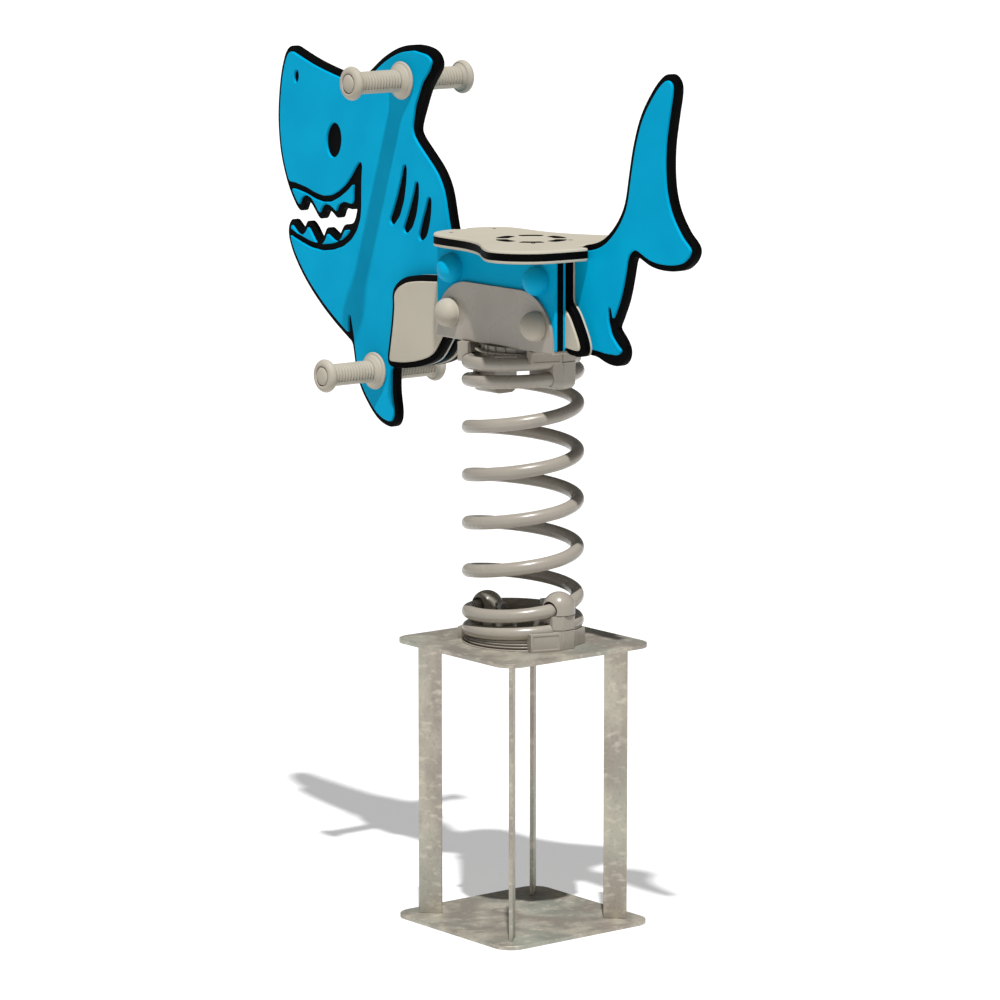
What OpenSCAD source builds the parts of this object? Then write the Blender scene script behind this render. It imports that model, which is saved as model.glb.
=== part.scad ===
// Spring rider: a shark shaped sheet body on a coil spring, on a steel ground anchor frame.
// +X is the way the rider faces, +Y is the rider's left, +Z is up.
// The origin is the middle of the underside of the anchor's bottom plate.

/* [Ground anchor] */
// Side of the two square anchor plates
plate_side = 280; // [260:5:320]
// Thickness of the anchor plates
plate_t = 6; // [5:1:10]
// Corner radius of the anchor plates
plate_corner = 30; // [10:1:40]
// Height of the whole anchor frame
anchor_h = 428; // [380:1:480]
// Width of a flat bar leg
leg_w = 35; // [28:1:40]
// Thickness of a flat bar leg
leg_t = 6; // [4:1:9]

/* [Coil spring] */
// Diameter of the spring wire
wire_d = 20; // [18:0.5:20]
// Mean diameter of the coil
coil_d = 162; // [158:1:168]
// Rise of one turn inside the clamps
dead_pitch = 25.5; // [25:0.5:29]
// Rise of one free turn
active_pitch = 72; // [64:1:80]
// Turns lying in the clamps at each end
dead_turns = 1.25; // [1.2:0.05:1.35]
// Whole turns between the clamps of one side
whole_turns = 7; // [6:1:8]

/* [Spring castings] */
// Base thickness of the lower casting
lower_base = 4.5; // [4:0.5:8]
// Base thickness of the upper casting
upper_base = 6; // [5:0.5:14]
// Clearance between the wire and its castings
wire_gap = 0.7; // [0.5:0.1:1.2]
// Width of a clamp tower along the wire
tower_w = 40; // [28:1:42]
// Radius of a clamp's domed cap
dome_r = 24; // [23:0.5:28]
// Height of the flattened caps of the upper clamps
flat_cap_h = 18; // [14:0.5:20]

/* [Saddle bracket] */
// Thickness of the bent saddle bracket
saddle_t = 4.5; // [3:0.5:6]
// Length of the saddle bracket
saddle_len = 276; // [260:1:280]
// How far the saddle bracket sits ahead of the spring axis
saddle_ahead = 6; // [0:1:10]
// Height of the bracket's ears over its underside
ear_h = 88; // [80:1:94]
// Shoulder radius of an ear
ear_r = 74; // [60:1:76]

/* [Sheets] */
// Thickness of the plastic sheets
sheet_t = 19; // [17:0.5:20]
// Thickness of a sheet's coloured skin
skin_t = 4; // [2.5:0.5:5]
// Width of the dark border along a routed edge
border = 9; // [6:0.5:10]

/* [Body] */
// Length of the shark panel
body_len = 1000; // [970:1:1030]
// Distance from the spring axis back to the tail
tail_back = 400; // [392:1:410]
// Drop from the saddle to the lowest fin
fin_drop = 163; // [158:1:172]
// How far a side plate stands past the saddle bracket at each end
side_over = 2; // [0:0.5:4]
// Height of a side plate
side_h = 133; // [128:1:138]

/* [Seat] */
// Length of the seat
seat_len = 324; // [318:1:332]
// Width of the seat
seat_w = 272; // [240:2:280]
// Distance of the seat's middle behind the spring axis
seat_back = 3; // [0:1:5]

/* [Grips] */
// Diameter of the steel bars in the grips
bar_d = 22; // [18:1:24]
// Length of a grip out from the panel
grip_len = 102; // [95:1:125]
// Diameter of the ribbed part of a grip
grip_d = 34; // [32:0.5:38]
// Diameter of a grip's end knob
knob_d = 51; // [46:0.5:56]
// Diameter of a grip's flange
flange_d = 57.5; // [52:0.5:60]
// Ribs along a grip
ribs = 12; // [10:1:20]

/* [Bolts] */
// Diameter of the bolts
bolt_d = 10; // [8:1:12]
// Distance of the body bolts from the ends of the saddle bracket
bolt_inset = 36; // [32:1:40]
// Height of the lower body bolts over the saddle
low_bolt_h = 39; // [36:1:44]
// Height of the upper body bolts over the saddle
high_bolt_h = 105; // [100:1:108]
// Diameter of the domed bolt covers
cover_d = 44; // [40:1:46]
// Height of the domed bolt covers
cover_h = 24.5; // [22:0.5:30]

/* [Hidden] */
$fn = 64;

// Colours of the materials
galvanised = "#b0ada2";
cast_paint = "#aba497";
sheet_blue = "#00a2cc";
sheet_black = "#101010";
sheet_beige = "#cbc5b5";
bolt_steel = "#9a9a98";

// Play between a bolt and its hole, and the overshoot of a cutting solid
play = 0.5;
over = 1;

// Places along the wire, in turns from its lower end, which lies a little ahead of the front clamp
overrun_deg = 12;
overrun = overrun_deg / 360;

// How far the clamps and the spring are turned to the rider's left at the front, round the spring's axis
clamp_turn = 4.7;
turns = whole_turns + 0.5 + 2 * overrun;
ramp_share = 0.3;
active_turns = turns - 2 * dead_turns - ramp_share;
coil_r = coil_d / 2;
wire_r = wire_d / 2;
wire_z0 = anchor_h + lower_base + wire_gap + wire_r;

// Area under a smooth step from 0 to 1
function ramp(u) = u <= 0 ? 0 : u >= 1 ? u - 0.5 : pow(u, 3) - pow(u, 4) / 2;

// Height of the wire's middle after some turns
function wire_z(t) = wire_z0 + dead_pitch * t + (active_pitch - dead_pitch) * ramp_share
    * (ramp((t - dead_turns) / ramp_share) - ramp((t - dead_turns - active_turns) / ramp_share));

// How steeply the wire climbs after some turns, from a smooth step and the step back
function rise_share(u) = u <= 0 ? 0 : u >= 1 ? 1 : 3 * u * u - 2 * pow(u, 3);
function climb_deg(t) = atan((dead_pitch + (active_pitch - dead_pitch)
    * (rise_share((t - dead_turns) / ramp_share) - rise_share((t - dead_turns - active_turns) / ramp_share)))
    / (PI * coil_d));

// Height and climb of the wire where it passes the front (+X) and the rear (-X) clamps
function wire_pass(t) = [wire_z(t), climb_deg(t)];
low_front = [wire_pass(overrun), wire_pass(overrun + 1)];
low_rear = [wire_pass(overrun + 0.5), wire_pass(overrun + 1.5)];
high_front = [wire_pass(turns - overrun - 0.5), wire_pass(turns - overrun - 1.5)];
high_rear = [wire_pass(turns - overrun), wire_pass(turns - overrun - 1)];

// Heights of the saddle's underside, the sheets' seat on it and the seat's underside
upper_z = wire_z(turns) + wire_r + wire_gap;
saddle_z = upper_z + upper_base;
sheet_z = saddle_z + saddle_t;
seat_z = sheet_z + side_h;
body_z = saddle_z - fin_drop;

// Faces of the sheets to the side of the middle plane
panel_y = sheet_t / 2;
hip_y = panel_y + sheet_t;
side_y = hip_y + sheet_t;
ear_y = side_y + saddle_t;
core_t = sheet_t - 2 * skin_t;
// Length of a side plate, and its front and rear edges
side_len = saddle_len + 2 * side_over;
front_x = saddle_ahead + side_len / 2;
rear_x = saddle_ahead - side_len / 2;

// Points of a path: [along, up, 1 on a smooth stretch or 0 at a corner]
function at(p, i) = p[(i + len(p)) % len(p)];
function flat(a) = [a[0], a[1]];
function unit(v) = v / max(norm(v), 1e-9);

// Direction of a smooth path at a point, and of a corner towards its neighbour
function heading(p, i, next) = at(p, i)[2] == 0
    ? unit(flat(at(p, next)) - flat(at(p, i))) * sign(next - i)
    : unit(flat(at(p, i + 1)) - flat(at(p, i - 1)));

// One point of the cubic curve from point i to the next
function between(p, i, u) =
    let (a = flat(at(p, i)), b = flat(at(p, i + 1)), size = norm(b - a))
    let (m = heading(p, i, i + 1) * size, n = heading(p, i + 1, i) * size)
    a * (2 * pow(u, 3) - 3 * u * u + 1) + m * (pow(u, 3) - 2 * u * u + u)
    + b * (3 * u * u - 2 * pow(u, 3)) + n * (pow(u, 3) - u * u);

// Closed outline through the points, with some steps on each curved stretch
function outline(p, steps = 4) = [
    for (i = [0 : len(p) - 1])
        let (n = at(p, i)[2] == 0 && at(p, i + 1)[2] == 0 ? 1 : steps)
        for (k = [0 : n - 1]) between(p, i, k / n)
];

// Closed outline of a stroke along [along, up, half width] points, with round ends
function stroke_way(p, i) = unit(flat(p[min(i + 1, len(p) - 1)]) - flat(p[max(i - 1, 0)]));
function stroke_side(p, i, s) = flat(p[i]) + s * p[i][2] * [-stroke_way(p, i)[1], stroke_way(p, i)[0]];
function stroke_end(p, i, s) = [
    for (a = [-60 : 30 : 60])
        let (w = stroke_way(p, i))
        flat(p[i]) + p[i][2] * s * (w * cos(a) + [-w[1], w[0]] * sin(a))
];
function stroke(p) = concat(
    [for (i = [0 : len(p) - 1]) stroke_side(p, i, -1)], stroke_end(p, len(p) - 1, 1),
    [for (i = [len(p) - 1 : -1 : 0]) stroke_side(p, i, 1)], stroke_end(p, 0, -1)
);

// Shares of the body length, from the tail and from the lowest fin
function placed(s) = [s[0] * body_len - tail_back, s[1] * body_len, s[2]];
function drawn(s) = [s[0] * body_len - tail_back, s[1] * body_len, s[2] * body_len];
function all_placed(list) = [for (s = list) placed(s)];
function all_drawn(list) = [for (s = list) drawn(s)];

// Outline of the shark, from the nose over the back to the tail and home along the belly
snout_shares = [
    [0.999, 0.519, 1], [0.992, 0.542, 1], [0.982, 0.561, 1], [0.967, 0.569, 1], [0.945, 0.563, 1],
    [0.910, 0.552, 1], [0.869, 0.542, 1], [0.825, 0.534, 1], [0.792, 0.533, 1]
];
back_fin_shares = [
    [0.772, 0.539, 1], [0.735, 0.563, 1], [0.695, 0.581, 1], [0.655, 0.588, 1], [0.620, 0.585, 1],
    [0.601, 0.576, 1], [0.594, 0.561, 1], [0.603, 0.546, 1], [0.621, 0.524, 1], [0.637, 0.490, 1],
    [0.646, 0.468, 1], [0.646, 0.456, 1]
];
back_shares = [
    [0.619, 0.431, 1], [0.590, 0.405, 1], [0.572, 0.377, 1], [0.561, 0.336, 1], [0.555, 0.314, 0]
];
tail_shares = [
    [0.262, 0.314, 0], [0.252, 0.321, 1], [0.225, 0.327, 1], [0.203, 0.337, 1], [0.178, 0.360, 1],
    [0.161, 0.388, 1], [0.152, 0.429, 1], [0.142, 0.474, 1], [0.126, 0.517, 1], [0.102, 0.552, 1],
    [0.080, 0.574, 1], [0.063, 0.581, 1], [0.048, 0.573, 1], [0.044, 0.558, 1], [0.051, 0.522, 1],
    [0.059, 0.476, 1], [0.058, 0.426, 1], [0.047, 0.390, 1], [0.024, 0.359, 1], [0.006, 0.344, 1],
    [0.002, 0.333, 1], [0.010, 0.319, 1], [0.030, 0.306, 1], [0.065, 0.301, 1], [0.100, 0.304, 1],
    [0.126, 0.314, 1], [0.134, 0.316, 1], [0.141, 0.310, 1], [0.147, 0.286, 1], [0.157, 0.251, 1],
    [0.171, 0.222, 1], [0.179, 0.208, 0]
];
rear_fin_shares = [
    [0.163, 0.193, 1], [0.154, 0.178, 1], [0.159, 0.161, 1], [0.175, 0.153, 1], [0.200, 0.155, 1],
    [0.222, 0.162, 1], [0.250, 0.163, 0]
];
belly_shares = [
    [0.550, 0.155, 0], [0.557, 0.146, 1], [0.567, 0.133, 1], [0.581, 0.120, 1], [0.605, 0.110, 1],
    [0.645, 0.101, 1], [0.685, 0.098, 1], [0.703, 0.096, 0]
];
low_fin_shares = [
    [0.703, 0.056, 1], [0.698, 0.025, 1], [0.703, 0.007, 1], [0.718, 0.000, 1], [0.750, 0.009, 1],
    [0.780, 0.035, 1], [0.798, 0.059, 1], [0.806, 0.080, 1], [0.811, 0.104, 1], [0.815, 0.121, 0]
];
jaw_shares = [
    [0.855, 0.144, 1], [0.895, 0.171, 1], [0.935, 0.205, 1], [0.965, 0.240, 1], [0.979, 0.266, 1],
    [0.981, 0.282, 1]
];
low_teeth_shares = [
    [0.976, 0.294, 1], [0.967, 0.299, 1], [0.955, 0.291, 1], [0.945, 0.285, 1], [0.937, 0.289, 1],
    [0.929, 0.300, 1], [0.915, 0.293, 1], [0.901, 0.277, 1], [0.894, 0.274, 1], [0.887, 0.280, 1],
    [0.878, 0.294, 1], [0.865, 0.289, 1], [0.850, 0.283, 1], [0.843, 0.289, 1], [0.834, 0.301, 1],
    [0.815, 0.304, 1], [0.808, 0.309, 1], [0.802, 0.325, 1], [0.801, 0.329, 0]
];
high_teeth_shares = [
    [0.815, 0.326, 1], [0.828, 0.328, 1], [0.840, 0.324, 1], [0.846, 0.311, 1], [0.853, 0.310, 1],
    [0.862, 0.316, 1], [0.871, 0.320, 1], [0.881, 0.319, 1], [0.888, 0.308, 1], [0.897, 0.305, 1],
    [0.908, 0.315, 1], [0.923, 0.329, 1], [0.935, 0.328, 1], [0.941, 0.316, 1], [0.949, 0.313, 1]
];
face_shares = [
    [0.963, 0.325, 1], [0.983, 0.355, 1], [1.000, 0.400, 1], [1.006, 0.445, 1], [1.005, 0.480, 1]
];
shark = outline(all_placed(concat(
    snout_shares, back_fin_shares, back_shares, tail_shares, rear_fin_shares, belly_shares,
    low_fin_shares, jaw_shares, low_teeth_shares, high_teeth_shares, face_shares
)), 3);

// Routed lines of the face and the fins, with half widths
high_lip_shares = [
    [1.000, 0.352, 0.0050], [0.960, 0.352, 0.0050], [0.930, 0.347, 0.0050], [0.905, 0.340, 0.0050],
    [0.885, 0.337, 0.0050], [0.865, 0.339, 0.0050], [0.845, 0.347, 0.0050], [0.825, 0.359, 0.0055],
    [0.808, 0.374, 0.0065], [0.797, 0.387, 0.007], [0.790, 0.395, 0.0065]
];
low_lip_shares = [
    [0.790, 0.395, 0.0065], [0.795, 0.375, 0.0095], [0.797, 0.355, 0.011], [0.797, 0.335, 0.011],
    [0.798, 0.317, 0.010], [0.804, 0.300, 0.008], [0.816, 0.285, 0.0065], [0.835, 0.273, 0.0055],
    [0.860, 0.265, 0.0050], [0.890, 0.261, 0.0050], [0.920, 0.264, 0.0050], [0.948, 0.271, 0.0050],
    [0.970, 0.278, 0.0050], [0.995, 0.286, 0.0050]
];
gill_shares = [
    [[0.676, 0.402, 0.0055], [0.680, 0.380, 0.008], [0.687, 0.355, 0.010], [0.697, 0.332, 0.010],
        [0.707, 0.319, 0.0075]],
    [[0.646, 0.379, 0.0055], [0.649, 0.360, 0.008], [0.656, 0.337, 0.010], [0.665, 0.318, 0.010],
        [0.673, 0.309, 0.0075]],
    [[0.615, 0.358, 0.0055], [0.618, 0.342, 0.008], [0.624, 0.323, 0.010], [0.630, 0.307, 0.010],
        [0.635, 0.301, 0.0075]]
];
armpit_shares = [
    [0.818, 0.161, 0.0035], [0.816, 0.145, 0.0055], [0.813, 0.128, 0.007], [0.810, 0.110, 0.006]
];
rear_fold_shares = [
    [0.190, 0.235, 0.0035], [0.188, 0.218, 0.006], [0.179, 0.202, 0.009], [0.164, 0.187, 0.008]
];
fin_rim_shares = [
    [0.700, 0.582, 0.009], [0.655, 0.590, 0.011], [0.618, 0.586, 0.012], [0.597, 0.572, 0.013],
    [0.601, 0.548, 0.014], [0.621, 0.524, 0.015], [0.637, 0.490, 0.015], [0.647, 0.462, 0.011]
];
rear_rim_shares = [
    [0.222, 0.162, 0.010], [0.200, 0.155, 0.0145], [0.181, 0.153, 0.0165], [0.166, 0.157, 0.014],
    [0.157, 0.168, 0.010]
];
routed_lines = concat(
    [high_lip_shares, low_lip_shares, armpit_shares, rear_fold_shares, rear_rim_shares, fin_rim_shares],
    gill_shares
);
// Middle, half width and half height of the eye and the nostril, and how far they lean
eye_shares = [0.856, 0.430, 0.0195, 0.0275];
nostril_shares = [0.953, 0.522, 0.0065, 0.0105];
lean_deg = 10;
// Places of the bars in the body
handle_shares = [0.680, 0.533];
footrest_shares = [0.751, 0.084];

// Outline of the hip plate's front and rear lobes, the stretches between them follow the side plate
hip_front_shares = [
    [0.562, 0.249, 1], [0.591, 0.247, 1], [0.625, 0.244, 1], [0.655, 0.238, 1], [0.677, 0.226, 1],
    [0.687, 0.212, 1], [0.687, 0.192, 1], [0.690, 0.167, 1], [0.696, 0.134, 1], [0.700, 0.111, 1],
    [0.696, 0.100, 1], [0.680, 0.098, 1], [0.645, 0.101, 1], [0.605, 0.110, 1], [0.581, 0.120, 1],
    [0.567, 0.133, 1], [0.557, 0.146, 1], [0.549, 0.156, 0]
];
hip_rear_shares = [
    [0.232, 0.162, 1], [0.226, 0.174, 1], [0.231, 0.190, 1], [0.241, 0.208, 1], [0.252, 0.225, 1]
];
// Height of the hip plate's rear kink under the seat, as a share of the side plate's height
hip_kink_share = 0.47;

// Half outline of the seat: share of the length from the front, share of the half width
seat_shares = [
    [0.020, 0.00, 1], [0.025, 0.22, 1], [0.060, 0.42, 1], [0.120, 0.53, 1], [0.200, 0.555, 1],
    [0.330, 0.56, 1], [0.430, 0.60, 1], [0.540, 0.70, 1], [0.640, 0.85, 1], [0.720, 0.96, 1],
    [0.780, 1.00, 1], [0.850, 0.96, 1], [0.920, 0.84, 1], [0.970, 0.66, 1], [0.990, 0.42, 1],
    [1.000, 0.20, 1], [1.000, 0.00, 1]
];

// Sizes of small hardware as shares of the bolt diameter
head_w_share = 1.7;
head_h_share = 0.64;
nut_h_share = 0.8;
socket_w_share = 1.6;
head_w = bolt_d * head_w_share;
socket_w = bolt_d * socket_w_share;
head_h = bolt_d * head_h_share;
nut_h = bolt_d * nut_h_share;
hole_d = bolt_d + play;

// Place of the legs as a share of the plate's side, and of the casting's bolts as a share of the coil radius
leg_place_share = 0.498;
seat_bolt_share = 0.315;
leg_place = plate_side * leg_place_share;
seat_bolt = coil_r * seat_bolt_share;
// Distance of the saddle's bolts from the axis, along the rider and across the hip sheets
saddle_bolt = [seat_bolt, panel_y + sheet_t / 2];

// Clamp towers as shares of the coil radius: inner face, outer face, bolt and lug
tower_in_share = 0.46;
tower_out_share = 1.18;
tower_bolt_share = 0.6;
tower_cut_share = 0.25;
tower_in = coil_r * tower_in_share;
tower_out = coil_r * tower_out_share;
tower_bolt = coil_r * tower_bolt_share;
tower_cut = tower_w * tower_cut_share;
lug_share = 0.36;
lug_w_share = 0.66;
lug_h = dome_r * lug_share;
lug_w = tower_w * lug_w_share;
// The wire bends a little within a clamp, so its channel is wider than the wire
channel_share = 1.03;
channel_r = wire_r * channel_share + wire_gap;
// The casting's ring and its pads
ring_in_share = 0.88;
ring_out_share = 1.09;
ring_in = coil_r * ring_in_share;
ring_out = coil_r * ring_out_share;
ring_steps = 10;
step_back_share = 0.003;
step_lap_share = 0.06;
step_back = coil_r * step_back_share;
pad_len_share = 0.5;
pad_t_share = 0.22;
pad_step_share = 0.09;
pad_deg = 21;
pad_len = coil_r * pad_len_share;
pad_t = coil_r * pad_t_share;
pad_step = coil_r * pad_step_share;
pad_gap = dead_pitch / 6;

// Grip stations as shares of its length and of the flange's or the knob's diameter, and its rib depth
flange_shares = [[0, 0.93], [0.02, 0.98], [0.045, 1], [0.07, 0.98], [0.095, 0.9], [0.115, 0.76]];
rib_shares = [0.13, 0.82];
knob_shares = [
    [0.84, 0.74], [0.86, 0.84], [0.885, 0.94], [0.915, 1],
    [0.945, 1], [0.97, 0.96], [0.988, 0.89], [1, 0.80]
];
rib_share = 0.1;
plug_d_share = 0.6;
plug_t_share = 0.06;
plug_rise_share = 0.03;
plug_d = knob_d * plug_d_share;
plug_t = grip_len * plug_t_share;

// Wall and straight skirt of a bolt cover
cover_wall_share = 0.14;
cover_skirt_share = 0.2;
cover_wall = cover_d * cover_wall_share / 2;
cover_skirt = cover_h * cover_skirt_share;

// Seat screws as shares of the seat's length and of a side plate's thickness, and the ring of slots
screw_shares = [[0.12, 0.65], [0.70, 0.36]];
screw_d_share = 0.6;
screw_d = bolt_d * screw_d_share;
screw_len = sheet_t + sheet_t;
ring_shares = [0.55, 0.165, 0.11];
ring_slots = 6;
slot_deg = 44;

// A prism of an outline drawn along the rider and up, standing from one side face to another
module sheet(points, y0, y1) {
    translate([0, y1, 0]) rotate([90, 0, 0]) linear_extrude(y1 - y0) polygon(points);
}

// A round bar across the rider
module cross(x, z, d, y0, y1) {
    translate([x, y1, z]) rotate([90, 0, 0]) cylinder(d = d, h = y1 - y0);
}

// A block between two corners
module block(a, b) {
    translate(a) cube(b - a);
}

// A hexagon standing on its face
module hex(w, h) {
    cylinder(d = w / cos(30), h = h, $fn = 6);
}

// Points of an ellipse, leaning
function leaning(s) = [
    for (a = [0 : 10 : 350])
        let (v = [s[2] * cos(a), s[3] * sin(a)] * body_len)
        [s[0] * body_len - tail_back + v[0] * cos(lean_deg) - v[1] * sin(lean_deg),
            s[1] * body_len + v[1] * cos(lean_deg) + v[0] * sin(lean_deg)]
];

// Ground anchor
module rounded_plate(holes) {
    inner = plate_side / 2 - plate_corner;
    difference() {
        union() {
            block([-inner, -plate_side / 2, 0], [inner, plate_side / 2, plate_t]);
            block([-plate_side / 2, -inner, 0], [plate_side / 2, inner, plate_t]);
            for (x = [-inner, inner], y = [-inner, inner])
                translate([x, y, 0]) cylinder(r = plate_corner, h = plate_t);
        }
        if (holes)
            for (x = [-seat_bolt, seat_bolt], y = [-seat_bolt, seat_bolt])
                translate([x, y, -over]) cylinder(d = hole_d, h = plate_t + 2 * over);
    }
}

module anchor_base_plate() {
    color(galvanised) rounded_plate(false);
}

module anchor_top_plate() {
    color(galvanised) translate([0, 0, anchor_h - plate_t]) rounded_plate(true);
}

module anchor_leg(angle) {
    color(galvanised) rotate([0, 0, angle])
        block(
            [leg_place - leg_w / 2, -leg_t / 2, plate_t],
            [leg_place + leg_w / 2, leg_t / 2, anchor_h - plate_t]
        );
}

// Tilted ring that the wire needs where it passes a clamp on the front side
module channel(z, climb) {
    translate([0, 0, z]) rotate([climb, 0, 0])
        rotate_extrude() translate([coil_r, 0]) circle(r = channel_r);
}

// Outline of a clamp tower seen from above, on the front side
module tower(z0, z1) {
    w = tower_w / 2;
    translate([0, 0, z0]) linear_extrude(z1 - z0) polygon([
        [tower_in, -w], [tower_out - tower_cut, -w], [tower_out, tower_cut - w],
        [tower_out, w - tower_cut], [tower_out - tower_cut, w], [tower_in, w]
    ]);
}

module tower_hole(z0, z1) {
    translate([tower_bolt, 0, z0]) cylinder(d = hole_d, h = z1 - z0);
}

// Ring in steps that follow the wire, a base disc and two tower feet, standing up from z = 0
// rise lists the room under the wire at each step, feet the heights of the front and rear feet, and turn is
// how far the ring and the feet are turned against the bolts
module spring_seat(base, rise, feet, turn) {
    step = 360 / ring_steps;
    difference() {
        union() {
            cylinder(r = ring_in + ring_steps * step_back + over, h = base);
            // Each step laps over the one before it and stands back from its sides
            for (i = [0 : ring_steps - 1])
                rotate([0, 0, turn + (i - step_lap_share) * step])
                    rotate_extrude(angle = (1 + step_lap_share) * step) translate([ring_in + i * step_back, 0])
                        square([ring_out - ring_in - 2 * i * step_back, rise[i]]);
            for (k = [0, 1]) rotate([0, 0, turn + 180 * k]) {
                tower_foot(feet[k]);
                rotate([0, 0, -pad_deg]) block(
                    [ring_out - pad_t, -pad_len / 2, 0],
                    [ring_out + pad_step, pad_len / 2, max(base - over, feet[k] - channel_r - pad_gap)]
                );
            }
        }
        for (k = [0, 1]) rotate([0, 0, turn + 180 * k]) tower_hole(-over, feet[k] + over);
        for (x = [-seat_bolt, seat_bolt], y = [-1, 1])
            translate([x, y * (base == lower_base ? seat_bolt : saddle_bolt[1]), -over])
                cylinder(d = hole_d, h = base + 2 * over);
    }
}

// Foot of a clamp tower with the channel of the wire's first pass in its top
module tower_foot(h) {
    difference() {
        tower(0, h);
        channel(h, low_front[0][1]);
    }
}

// Room under the wire over one step of the ring
function step_room(i) =
    wire_z(i / ring_steps + overrun) - channel_r - wire_gap - anchor_h;
ring_floor = step_room(0) - dead_pitch / ring_steps;
lower_rise = [for (i = [0 : ring_steps - 1]) i == ring_steps - 1 ? ring_floor : step_room(i)];
lower_feet = [low_front[0][0] - anchor_h, low_rear[0][0] - anchor_h];

module lower_spring_seat() {
    color(cast_paint) translate([0, 0, anchor_h])
        spring_seat(lower_base, lower_rise, lower_feet, clamp_turn);
}

// The same casting turned over and half round, so that its front and rear change places
module upper_spring_seat() {
    feet = [saddle_z - high_rear[0][0], saddle_z - high_front[0][0]];
    color(cast_paint) translate([0, 0, saddle_z]) rotate([0, 180, 0])
        spring_seat(upper_base, [for (r = lower_rise) r - lower_base + upper_base], feet, -clamp_turn);
}

// Loose jaw between two passes of the wire, the lower one first, on the front side
module jaw(low, high) {
    color(cast_paint) rotate([0, 0, clamp_turn]) difference() {
        tower(low[0], high[0]);
        channel(low[0], low[1]);
        channel(high[0], high[1]);
        tower_hole(low[0] - over, high[0] + over);
    }
}

// Domed cap of some height over a climbing wire, standing up from z = 0, on the front side
module cap(h, climb) {
    color(cast_paint) difference() {
        union() {
            intersection() {
                translate([coil_r, 0, 0]) sphere(r = dome_r);
                block([0, -dome_r, 0], [coil_r + dome_r, dome_r, h]);
            }
            block([tower_in, -lug_w / 2, 0], [coil_r, lug_w / 2, lug_h]);
        }
        channel(0, climb);
        tower_hole(-over, dome_r);
        translate([tower_bolt, 0, lug_h - head_h]) cylinder(d = socket_w + play, h = dome_r);
    }
}

module lower_cap(pass, k) {
    translate([0, 0, pass[0]]) rotate([0, 0, clamp_turn + 180 * k]) cap(dome_r, pass[1]);
}

module upper_cap(pass, k) {
    translate([0, 0, pass[0]]) rotate([0, 0, clamp_turn + 180 * k]) rotate([180, 0, 0])
        cap(flat_cap_h, pass[1]);
}

// Clamp bolt with a round head sunk in the lug, from the lug's top at z = 0 down
module clamp_bolt(len) {
    translate([tower_bolt, 0, -len]) cylinder(d = bolt_d, h = len);
    translate([tower_bolt, 0, -head_h]) cylinder(d = socket_w, h = head_h);
}

module lower_clamp_bolts() {
    color(bolt_steel) for (k = [0, 1]) {
        top = (k == 0 ? low_front[1][0] : low_rear[1][0]) + lug_h;
        translate([0, 0, top]) rotate([0, 0, clamp_turn + 180 * k]) clamp_bolt(top - anchor_h - over);
    }
}

module upper_clamp_bolts() {
    color(bolt_steel) for (k = [0, 1]) {
        top = (k == 0 ? high_front[1][0] : high_rear[1][0]) - lug_h;
        translate([0, 0, top]) rotate([0, 0, clamp_turn + 180 * k]) rotate([180, 0, 0])
            clamp_bolt(saddle_z - top - over);
    }
}

// Bolts that hold a casting down, from their heads on the casting's inside
module lower_seat_bolts() {
    len = lower_base + plate_t + nut_h + over;
    color(bolt_steel) for (x = [-seat_bolt, seat_bolt], y = [-seat_bolt, seat_bolt])
        translate([x, y, anchor_h + lower_base]) {
            hex(head_w, head_h);
            translate([0, 0, -len]) cylinder(d = bolt_d, h = len);
        }
}

module lower_seat_nuts() {
    color(bolt_steel) for (x = [-seat_bolt, seat_bolt], y = [-seat_bolt, seat_bolt])
        translate([x, y, anchor_h - plate_t - nut_h]) nut();
}

module nut() {
    difference() {
        hex(head_w, nut_h);
        translate([0, 0, -over]) cylinder(d = hole_d, h = nut_h + 2 * over);
    }
}

module saddle_bolts() {
    len = upper_base + saddle_t + nut_h;
    color(bolt_steel) for (x = [-1, 1], y = [-1, 1])
        translate([x * saddle_bolt[0], y * saddle_bolt[1], upper_z - head_h]) {
            hex(head_w, head_h);
            cylinder(d = bolt_d, h = head_h + len);
        }
}

module saddle_nuts() {
    color(bolt_steel) for (x = [-1, 1], y = [-1, 1])
        translate([x * saddle_bolt[0], y * saddle_bolt[1], sheet_z]) nut();
}

// The spring: one wire swept along its helix, with a straight run at each end
rings_per_turn = 30;
wire_sides = 12;
rings = ceil(turns * rings_per_turn);
function helix(t) =
    let (a = wire_deg(t))
    [coil_r * cos(a), coil_r * sin(a), wire_z(t)];
function wire_deg(t) = 360 * t - overrun_deg + clamp_turn;
function tangent(t) = [-sin(wire_deg(t)), cos(wire_deg(t)), 0];
route = concat(
    [helix(0) - tangent(0) * wire_d],
    [for (i = [0 : rings]) helix(turns * i / rings)],
    [helix(turns) + tangent(turns) * wire_d]
);
function route_way(i) = unit(route[min(i + 1, len(route) - 1)] - route[max(i - 1, 0)]);
function ring_point(i, k) =
    let (w = route_way(i), side = unit(cross([0, 0, 1], w)), up = cross(w, side), a = 360 * k / wire_sides)
    route[i] + wire_r * (side * cos(a) + up * sin(a));
last_ring = len(route) - 1;
wire_points = [for (i = [0 : last_ring]) for (k = [0 : wire_sides - 1]) ring_point(i, k)];
wire_faces = concat(
    [[for (k = [0 : wire_sides - 1]) k]],
    [for (i = [0 : last_ring - 1]) for (k = [0 : wire_sides - 1]) for (half = [0, 1])
        let (a = i * wire_sides + k, b = i * wire_sides + (k + 1) % wire_sides)
        half == 0 ? [a, a + wire_sides, b] : [b, a + wire_sides, b + wire_sides]],
    [[for (k = [wire_sides - 1 : -1 : 0]) last_ring * wire_sides + k]]
);

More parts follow.
